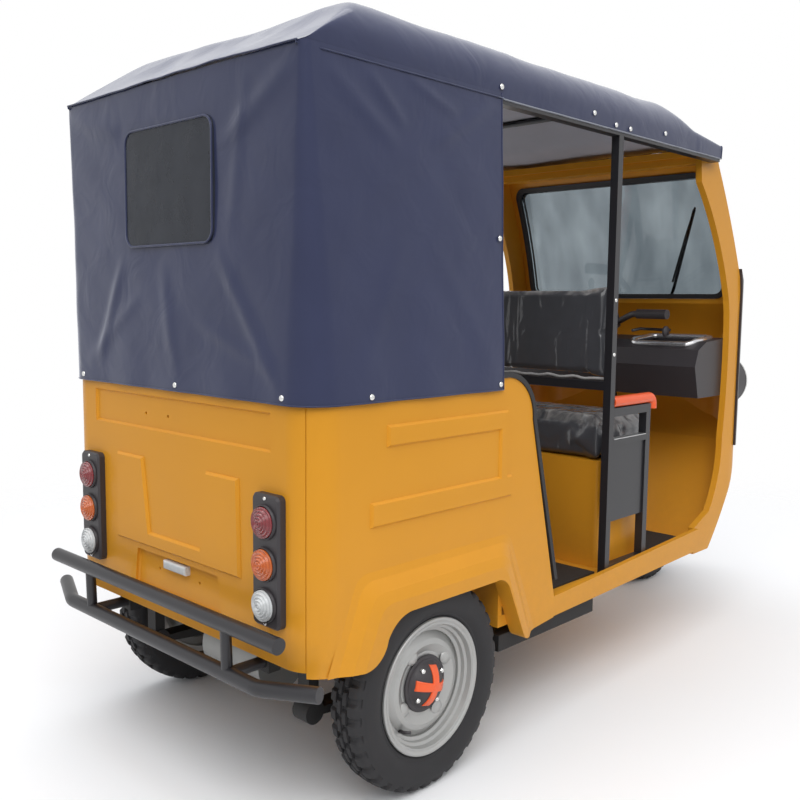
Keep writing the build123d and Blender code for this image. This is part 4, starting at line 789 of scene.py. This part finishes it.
class CART_OT_wheels(bpy.types.Operator):
    """Cuts the tread, and fits rolled rim edges, hub caps, nuts and valves"""
    bl_idname = "cart.wheels"
    bl_label = "Wheels"

    def execute(self, context):
        for name in ("front", "rear_left", "rear_right"):
            self.tyre(context, name)
            self.valve(name)
            self.rolled_edge(name)
        for name, side in (("rear_left", 1), ("rear_right", -1)):
            self.hub_cap(name, side)
        return {"FINISHED"}

    def tyre(self, context, name):
        sizes = context.scene.cart_sizes
        low, high = corners(f"{name}_tyre")
        mid = (low + high) / 2
        crown, half = (high.z - low.z) / 2, (high.y - low.y) / 2
        steps = sizes.tread_blocks * BLOCK_STEPS
        half_section = WALL + TREAD
        section = [(-a, r) for a, r in half_section] + list(reversed(half_section))
        first, last = len(WALL), len(section) - len(WALL)
        verts = []
        for k in range(steps):
            turn = 2 * pi * k / steps
            for j, (along, out) in enumerate(section):
                depth = 0.0
                if first <= j < last:
                    place = (k + (0 if along < 0 else BLOCK_STEPS // 2)) % BLOCK_STEPS
                    ring = 14 <= abs(along) <= 19
                    outer = abs(along) > 19 and place in (1, 2, 3)
                    inner = 2 < abs(along) < 14 and place in (5, 6)
                    if ring or outer or inner:
                        depth = sizes.tread_depth
                    if abs(along) < 2:
                        depth = sizes.tread_depth * 0.7
                radius = crown * out / SECTION_CROWN - depth
                spot = Vector((radius * cos(turn), half * along / SECTION_HALF, radius * sin(turn)))
                verts.append(mid + spot)
        tyre = piece(f"{name}_tyre_tread", verts, grid_faces(steps, len(section), True), tyre_rubber(),
                     f"{name}_wheel")
        split = tyre.modifiers.new("crisp", "EDGE_SPLIT")
        split.split_angle = radians(38)
        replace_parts(tyre, f"{name}_tyre")

    def valve(self, name):
        low, high = corners(f"{name}_rim")
        mid = (low + high) / 2
        side = 1 if name == "rear_left" else -1
        spoke = Vector((cos(radians(VALVE_ANGLE)), 0, sin(radians(VALVE_ANGLE))))
        start = mid + spoke * 0.124 + Vector((0, side * 0.012, 0))
        bend = start + Vector((0, side * 0.016, 0))
        end = start + Vector((0, side * 0.034, 0)) - spoke * 0.006
        tube(f"{name}_valve", [start, bend, end], 0.004, black_moulding(), f"{name}_wheel")

    def rolled_edge(self, name):
        """Rolled outer edge of the rim, with the groove inside it."""
        low, high = corners(f"{name}_rim")
        side = 1 if name == "rear_left" else -1
        wheel_y = sum(c[1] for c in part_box(f"{name}_tyre")) / 2
        centre = ((low.x + high.x) / 2, wheel_y, (low.z + high.z) / 2)
        turned(f"{name}_rolled_edge", [(a * MM, r * MM) for a, r in ROLLED_EDGE], centre, (0, side, 0),
               wheel_silver(), f"{name}_wheel", 96)

    def hub_cap(self, name, side):
        """Black dome with a red cross over it and four nuts between the arms."""
        low, high = corners(f"{name}_hub_cap")
        mid = (low + high) / 2
        way = Vector((0, side, 0))
        centre = Vector((mid.x, low.y if side > 0 else high.y, mid.z))
        body = f"{name}_wheel"
        rim_r, rise = (high.z - low.z) / 2, high.y - low.y - 0.004
        bend = 0.97 * rim_r

        def dome(out):
            return rise - bend + sqrt(bend ** 2 - out ** 2)

        flange = [(0, rim_r * 0.98), (0.003, rim_r), (0.006, rim_r * 0.98), (0.007, rim_r * 0.9),
                  (0.006, rim_r * 0.86)]
        rings = [rim_r * 0.84 * (1 - k / 14) for k in range(14)] + [0.0004]
        cap = turned(f"{name}_cap", flange + [(max(dome(r), 0.006), r) for r in rings], centre, way,
                     black_moulding(), body, 64)
        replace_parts(cap, f"{name}_hub_cap")
        red, half_w, reach = orange_moulding(), 0.012, 0.70 * rim_r
        for k in range(2):
            spoke = Matrix.Rotation(radians(90 * k - CROSS_TURN * side), 3, "Y")
            along, across = spoke @ Vector((1, 0, 0)), spoke @ Vector((0, 0, 1))
            verts = []
            for i in range(25):
                u = reach * (i / 12 - 1)
                wide = half_w * (0.84 + 0.2 * (u / reach) ** 2)
                edge = ((-wide, -0.002), (-wide, 0.003), (-wide + 0.002, 0.004))
                for v, lift in edge + tuple((-v, lift) for v, lift in reversed(edge)):
                    verts.append(centre + along * u + across * v + way * (dome(hypot(u, v)) + lift))
            faces = grid_faces(25, 6) + [tuple(range(6)), tuple(range(149, 143, -1))]
            piece(f"{name}_arm_{k}", verts, faces, red, body, False)
        for k in range(4):
            out = Matrix.Rotation(radians(45 + 90 * k - CROSS_TURN * side), 3, "Y") @ Vector((1, 0, 0))
            spot = centre + out * rim_r * 0.7 + way * (dome(rim_r * 0.7) - 0.002)
            turned(f"{name}_nut_{k}", NUT, spot, way, chrome(), body, 6, False)
            boss = centre + out * rim_r * 1.26 + way * 0.0035
            turned(f"{name}_boss_{k}", BOSS, boss, way, wheel_silver(), body, 24)


# Lamps, cabin and trim

TAIL_SCREW = ((0, 0.0045), (0.0015, 0.0045), (0.0025, 0.003), (0.0025, 0.0002))
POST_SCREW = ((0, 0.006), (0.002, 0.0055), (0.003, 0.003), (0.003, 0.0003))
GRIP_END = ((-0.006, 0.0185), (0.0, 0.0195), (0.004, 0.017), (0.005, 0.0005))
# Rims and rings are (along, radius more than the lamp's) in m.
LENS_RIM = ((0, 0.0045), (0.006, 0.004), (0.007, 0.0015), (0.003, 0.0008))
HEADLAMP_RING = ((-0.004, -0.014), (0.003, -0.010), (0.004, -0.004), (0.0, 0.001), (-0.008, 0.001))
LENS_STEPS = 49
TAIL_SCREWS_DZ, POST_SCREWS_Z = (0.137, -0.137), (1.185, 1.024)
GUARD_STRIP_Z = 0.7675
LEVER_RADIUS, TRAY_RIM_RADIUS, BLADE_RADIUS, FILM_EDGE_RADIUS = 0.0055, 0.011, 0.004, 0.005
RING_STEPS = 9.6


class CART_OT_lamps(bpy.types.Operator):
    """Adds rims, screws, headlamp rings and ringed lenses to the lamps"""
    bl_idname = "cart.lamps"
    bl_label = "Lamps"

    def execute(self, context):
        low, high = corners("tail_lamp_housings")
        for side in (-1, 1):
            y = side * (high.y - 0.046)
            for i, dz in enumerate(TAIL_SCREWS_DZ):
                turned(f"tail_screw_{side + 1}_{i}", TAIL_SCREW, (low.x, y, (low.z + high.z) / 2 + dz),
                       (-1, 0, 0), chrome(), steps=12)
            for name in ("red", "amber", "clear"):
                lens_low, lens_high = corners(f"tail_lamp_{name}_lenses")
                z = (lens_low.z + lens_high.z) / 2
                r = (lens_high.z - lens_low.z) / 2
                turned(f"tail_rim_{name}_{side + 1}", [(along, r + more) for along, more in LENS_RIM],
                       (lens_high.x - 0.0002, y, z), (-1, 0, 0), black_moulding(), steps=40)
        pod_low, pod_high = corners("headlamp_bezels")
        for side in (-1, 1):
            r = (pod_high.z - pod_low.z) / 2
            centre = (pod_high.x, side * (pod_high.y - r), (pod_low.z + pod_high.z) / 2)
            turned(f"headlamp_ring_{side + 1}", [(along, r + more) for along, more in HEADLAMP_RING], centre,
                   (1, 0, 0), chrome(), steps=64)
        lenses = {"red": tint("red_lens"), "amber": tint("amber_lens"), "clear": CLEAR_LENS}
        for name, base in lenses.items():
            low, high = corners(f"tail_lamp_{name}_lenses")
            r, thick = (high.z - low.z) / 2, high.x - low.x
            profile = [(0, r), (thick * 0.35, r)]
            for k in range(1, LENS_STEPS):
                out = r * (1 - k / LENS_STEPS)
                swell = thick * (0.45 + 0.5 * (1 - (out / r) ** 2))
                profile.append((swell + 0.0020 * cos(2 * pi * k / RING_STEPS), out))
            spots = [(high.x, side * (high.y - r), (low.z + high.z) / 2) for side in (-1, 1)]
            pair = [turned(f"{name}_lens_{2 * i}", profile, spot, (-1, 0, 0),
                           lens_plastic(f"{name}_lens_moulding", base, 6))
                    for i, spot in enumerate(spots)]
            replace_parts(join(f"tail_lens_{name}", pair), f"tail_lamp_{name}_lenses")
        return {"FINISHED"}


class CART_OT_cabin(bpy.types.Operator):
    """Fits levers, grip ends, tray rims, guard strips, wiper blade and film edge"""
    bl_idname = "cart.cabin"
    bl_label = "Cabin"

    def execute(self, context):
        low, high = corners("handlebar")
        grip_z = low.z + 0.017
        for side in (-1, 1):
            tip = Vector((low.x + 0.062, side * (high.y - 0.012), grip_z + 0.004))
            root = Vector((low.x + 0.072, side * (high.y - 0.135), grip_z + 0.006))
            clamp = Vector((low.x + 0.028, side * (high.y - 0.142), grip_z))
            bow = (root + tip) / 2 + Vector((0.008, 0, 0))
            tube(f"brake_lever_{side + 1}", [clamp, root, bow, tip], LEVER_RADIUS, black_tube(),
                 "steering")
            turned(f"grip_end_{side + 1}", GRIP_END, (low.x + 0.017, side * (high.y - 0.003), grip_z),
                   (0, side, 0), black_moulding(), "steering", 24)
        rounded_box("instrument_glass", (high.x - 0.075, 0, high.z - 0.006), (0.055, 0.10, 0.004), 0.0015,
                    window_film(), "steering", Matrix.Rotation(radians(-23), 3, "Y"))
        self.tray_rims()
        self.guard_strips()
        self.wiper_blade()
        self.film_edge()
        return {"FINISHED"}

    def tray_rims(self):
        """Glossy rounded rims round the two trays in the dash, pale and metallic as a painted highlight of
        the sky on their black gloss.
        """
        high = corners("dashboard")[1]
        axle_x = centre_x("front_rim")
        back_x, front_x = axle_x - 0.506, axle_x - 0.339
        inner_y, outer_y, corner = 0.189, high.y - 0.040, 0.030
        # Painted highlight: the pale metal colour D6D6D8 stands for the sky reflected in black gloss rims.
        bright = plain("bright_plated_trim", linear("D6D6D8"), 0.16, 30.0, 0.02, 0.05, 0.8, 0.5)
        for side in (-1, 1):
            line = []
            for k in range(40):
                turn = 2 * pi * (k + 0.5) / 40
                at_front, at_out = cos(turn) > 0, sin(turn) > 0
                x = (front_x - corner if at_front else back_x + corner) + corner * cos(turn)
                y = (outer_y - corner if at_out else inner_y + corner) + corner * sin(turn)
                behind = max(0.0, axle_x - 0.470 - x)
                z = high.z - 0.010 * (axle_x - 0.300 - x) / 0.17 - 0.35 * behind
                line.append((x, side * y, z + 0.003))
            tube(f"tray_rim_{side + 1}", line, TRAY_RIM_RADIUS, bright, sides=10,
                 closed=True)

    def guard_strips(self):
        """Bright strips along the top bars of the guards, and screws in the posts."""
        low, high = corners("side_guards")
        post_low, post_high = corners("partition_frame")
        strip = plain("brushed_aluminium", linear("C4C4C4"), 0.32, 2.0, 0.05, 0.05, 0.9)
        for side in (-1, 1):
            middle = ((low.x + high.x) / 2 - 0.012, side * (high.y - 0.011), GUARD_STRIP_Z)
            size = (high.x - low.x - 0.03, 0.026, 0.003)
            rounded_box(f"guard_strip_{side + 1}", middle, size, 0.001, strip)
            for k, z in enumerate(POST_SCREWS_Z):
                spot = ((post_low.x + post_high.x) / 2, side * post_high.y, z)
                turned(f"post_screw_{side + 1}_{k}", POST_SCREW, spot, (0, side, 0), chrome(), steps=14)

    def wiper_blade(self):
        """Rubber blade under the wiper's arm."""
        low, high = corners("wiper")
        tip = Vector((low.x + 0.004, low.y + 0.004, high.z - 0.004))
        knee = Vector((high.x - 0.030, high.y - 0.044, low.z + 0.075))
        way = (tip - knee).normalized()
        side = Vector((0, 0.018, 0))
        tube("wiper_blade", [tip + way * 0.01, tip - way * 0.10 + side * 0.5, tip - way * 0.30 + side],
             BLADE_RADIUS, black_moulding(), sides=6)

    def film_edge(self):
        """Loose edge of the clear film under the driver's backrest, pale grey as a painted highlight of the
        film's sheen.
        """
        low, high = corners("driver_backrest")
        line = []
        for k in range(60):
            y = low.y + (high.y - low.y) * (k + 0.5) / 60
            x = low.x - 0.004 + 0.006 * noise.noise((y * 14, 2, 0))
            line.append((x, y, low.z + 0.006 + 0.006 * noise.noise((y * 22, 0, 4))))
        # Painted highlight: the pale grey B9B6B4 stands for light caught along the clear film's fold.
        film = plain("clear_wrap_film", linear("B9B6B4"), 0.25, 14.0, 0.5, 0.2)
        tube("film_edge", line, FILM_EDGE_RADIUS, film, sides=6)


class CART_OT_finish(bpy.types.Operator):
    """Gives every CAD node its finish and softens sheet metal edges"""
    bl_idname = "cart.finish"
    bl_label = "CAD finishes"

    def execute(self, context):
        sizes = context.scene.cart_sizes
        rubber = plain("extruded_rubber", tint("rubber"), 0.6, 1.4, 0.12, 0.08)
        finishes = {
            "yellow_paint": yellow_enamel, "black_paint": black_tube, "canopy_cloth": coated_cloth,
            "window_film": window_film, "black_vinyl": wrapped_vinyl, "black_rubber": lambda: rubber,
            "black_plastic": black_moulding, "orange_plastic": orange_moulding, "screen_glass": clear_glass,
            "red_lens": lambda: lens_plastic("red_lens_moulding", tint("red_lens"), 6),
            "amber_lens": lambda: lens_plastic("amber_lens_moulding", tint("amber_lens"), 6),
            "clear_lens": lambda: lens_plastic("clear_lens_moulding", CLEAR_LENS, 6),
            "tyre_rubber": tyre_rubber, "wheel_paint": wheel_silver,
            "under_paint": lambda: plain("chassis_black", linear("201F1F"), 0.7, 4.0, 0.2, 0.2),
            "motor_case": lambda: plain("cast_aluminium", linear("8E8E8C"), 0.5, 1.2, 0.2, 0.08, 0.8),
            "mat_rubber": lambda: plain("ribbed_mat_rubber", linear("242425"), 0.65, 5.0, 0.5, 0.15),
        }
        slots = {row["node"]: row["material_slot"] for row in frame["record"]["subparts"]}
        for name, obj in frame["nodes"].items():
            obj.data.materials.clear()
            obj.data.materials.append(finishes[slots[name]]())
            if slots[name] in ("yellow_paint", "black_paint"):
                bevel = obj.modifiers.new("edge", "BEVEL")
                bevel.width = sizes.edge_round
                bevel.segments = 2
                bevel.angle_limit = radians(24)
                bevel.harden_normals = True
        return {"FINISHED"}


# Stage

OPEN_SIDE = (-0.6, -0.7, 0.39)
FLOOR_HALF = 30
FADE_START, FADE_END = 1.5, 4.0
# A softbox has its place, its aim, its power in W and its side in m.
SOFTBOXES = (
    ("key_softbox", (-3.8, -2.7, 4.8), (-0.4, 0, 0.8), 118, 3.4),
    ("side_softbox", (-1.4, -4.4, 5.0), (-0.4, 0, 0.8), 48, 3.0),
    ("top_softbox", (-0.6, 0.6, 5.6), (-0.2, 0, 0), 90, 4.0),
)
# The photograph's camera: degrees, then m behind the rear axle, to the left and above the floor.
HEADING, PITCH, ROLL = 43.633, 6.0546, 0.597
BEHIND_AXLE, CAMERA_Y, CAMERA_Z = 1.5869, -1.9070, 1.1709
SENSOR_MM = 36


class CART_OT_stage(bpy.types.Operator):
    """Sets the pale floor, the soft light and the camera"""
    bl_idname = "cart.stage"
    bl_label = "Stage"

    def execute(self, context):
        scene = context.scene
        mat, tree, coords = begin("matt_white_floor")
        tone = tinted(tree, linear("FAFAFA"), 900, 0.01, coords)
        matt = node(tree, "BsdfDiffuse", {"Color": tone})
        away = node(tree, "VectorMath", {0: coords}, operation="LENGTH")
        fade = ramp(tree, away.outputs["Value"], 0.0, 1.0, FADE_START, FADE_END,
                    interpolation_type="SMOOTHSTEP")
        none = node(tree, "BsdfTransparent")
        edge = node(tree, "MixShader", {0: fade, 1: matt, 2: none})
        finish_with(mat, edge)
        mesh = bpy.data.meshes.new("floor")
        square = ((-1, -1), (1, -1), (1, 1), (-1, 1))
        mesh.from_pydata([(x * FLOOR_HALF, y * FLOOR_HALF, 0) for x, y in square], [], [(0, 1, 2, 3)])
        mesh.materials.append(mat)
        floor = bpy.data.objects.new("floor", mesh)
        context.collection.objects.link(floor)
        for name, place, aim, power, size in SOFTBOXES:
            light = bpy.data.lights.new(name, "AREA")
            light.energy, light.size = power, size
            lamp = bpy.data.objects.new(name, light)
            turn = (Vector(aim) - Vector(place)).to_track_quat("-Z", "Y").to_matrix().to_4x4()
            lamp.matrix_world = Matrix.Translation(place) @ turn
            context.collection.objects.link(lamp)
        world = bpy.data.worlds.new("studio")
        scene.world = world
        world.use_nodes = True
        sky = world.node_tree
        sky.nodes.clear()
        rays = node(sky, "LightPath")
        way = node(sky, "TexCoord").outputs["Generated"]
        height = node(sky, "SeparateXYZ", {"Vector": way}).outputs["Z"]
        glow = ramp(sky, height, 0.10, 0.95, 0.0, 0.45)
        toward = node(sky, "VectorMath", {0: way, 1: OPEN_SIDE}, operation="DOT_PRODUCT")
        shade = ramp(sky, toward.outputs["Value"], 0.80, 1.0, -0.7, 0.6)
        power = node(sky, "Math", {0: glow, 1: shade}, operation="MULTIPLY")
        lit = node(sky, "Background", {"Color": linear("F4F6FA"), "Strength": power})
        seen = node(sky, "Background", {"Color": linear("FFFFFF"), "Strength": 1.0})
        direct = node(sky, "Math", {0: rays.outputs["Is Camera Ray"], 1: rays.outputs["Is Transmission Ray"]})
        shown = node(sky, "Math", {0: direct, 1: rays.outputs["Is Glossy Ray"]}, use_clamp=True)
        mix = node(sky, "MixShader", {0: shown, 1: lit, 2: seen})
        node(sky, "OutputWorld", {"Surface": mix})
        self.camera(context)
        scene.view_settings.view_transform = "Standard"
        return {"FINISHED"}

    def camera(self, context):
        """Stands the camera where the photograph was taken."""
        axle_x = centre_x("rear_axle")
        heading, pitch, roll = radians(HEADING), radians(PITCH), radians(ROLL)
        ahead = Vector((cos(heading), sin(heading), 0))
        right = Vector((sin(heading), -cos(heading), 0))
        aim = ahead * cos(pitch) - Vector((0, 0, sin(pitch)))
        up = right.cross(aim)
        across = right * cos(roll) + up * sin(roll)
        upward = up * cos(roll) - right * sin(roll)
        data = bpy.data.cameras.new("camera")
        data.lens, data.sensor_width = context.scene.cart_sizes.lens, SENSOR_MM
        camera = bpy.data.objects.new("camera", data)
        turn = Matrix((across, upward, -aim)).transposed().to_4x4()
        camera.matrix_world = Matrix.Translation((axle_x - BEHIND_AXLE, CAMERA_Y, CAMERA_Z)) @ turn
        context.collection.objects.link(camera)
        context.scene.camera = camera


class CART_PT_panel(bpy.types.Panel):
    """Steps that dress the cart"""
    bl_idname = "CART_PT_panel"
    bl_label = "Passenger three-wheeler"
    bl_space_type = "VIEW_3D"
    bl_region_type = "UI"
    bl_category = "Cart"

    def draw(self, context):
        for operator in OPERATORS:
            self.layout.operator(operator.bl_idname)
        for group in (context.scene.cart_sizes, context.scene.cart_colours):
            for name in group.__annotations__:
                self.layout.prop(group, name)


OPERATORS = (CART_OT_finish, CART_OT_canopy_roof, CART_OT_curtain, CART_OT_studs, CART_OT_seats,
             CART_OT_wheels, CART_OT_lamps, CART_OT_cabin, CART_OT_stage)
CLASSES = (CartColours, CartSizes) + OPERATORS + (CART_PT_panel,)


def register():
    for item in CLASSES:
        bpy.utils.register_class(item)
    bpy.types.Scene.cart_colours = PointerProperty(type=CartColours)
    bpy.types.Scene.cart_sizes = PointerProperty(type=CartSizes)


def unregister():
    del bpy.types.Scene.cart_sizes
    del bpy.types.Scene.cart_colours
    for item in reversed(CLASSES):
        bpy.utils.unregister_class(item)


def main():
    register()
    bpy.ops.cart.finish()
    bpy.ops.cart.canopy_roof()
    bpy.ops.cart.curtain()
    bpy.ops.cart.studs()
    bpy.ops.cart.seats()
    bpy.ops.cart.wheels()
    bpy.ops.cart.lamps()
    bpy.ops.cart.cabin()
    bpy.ops.cart.stage()


if __name__ == "__main__":
    main()
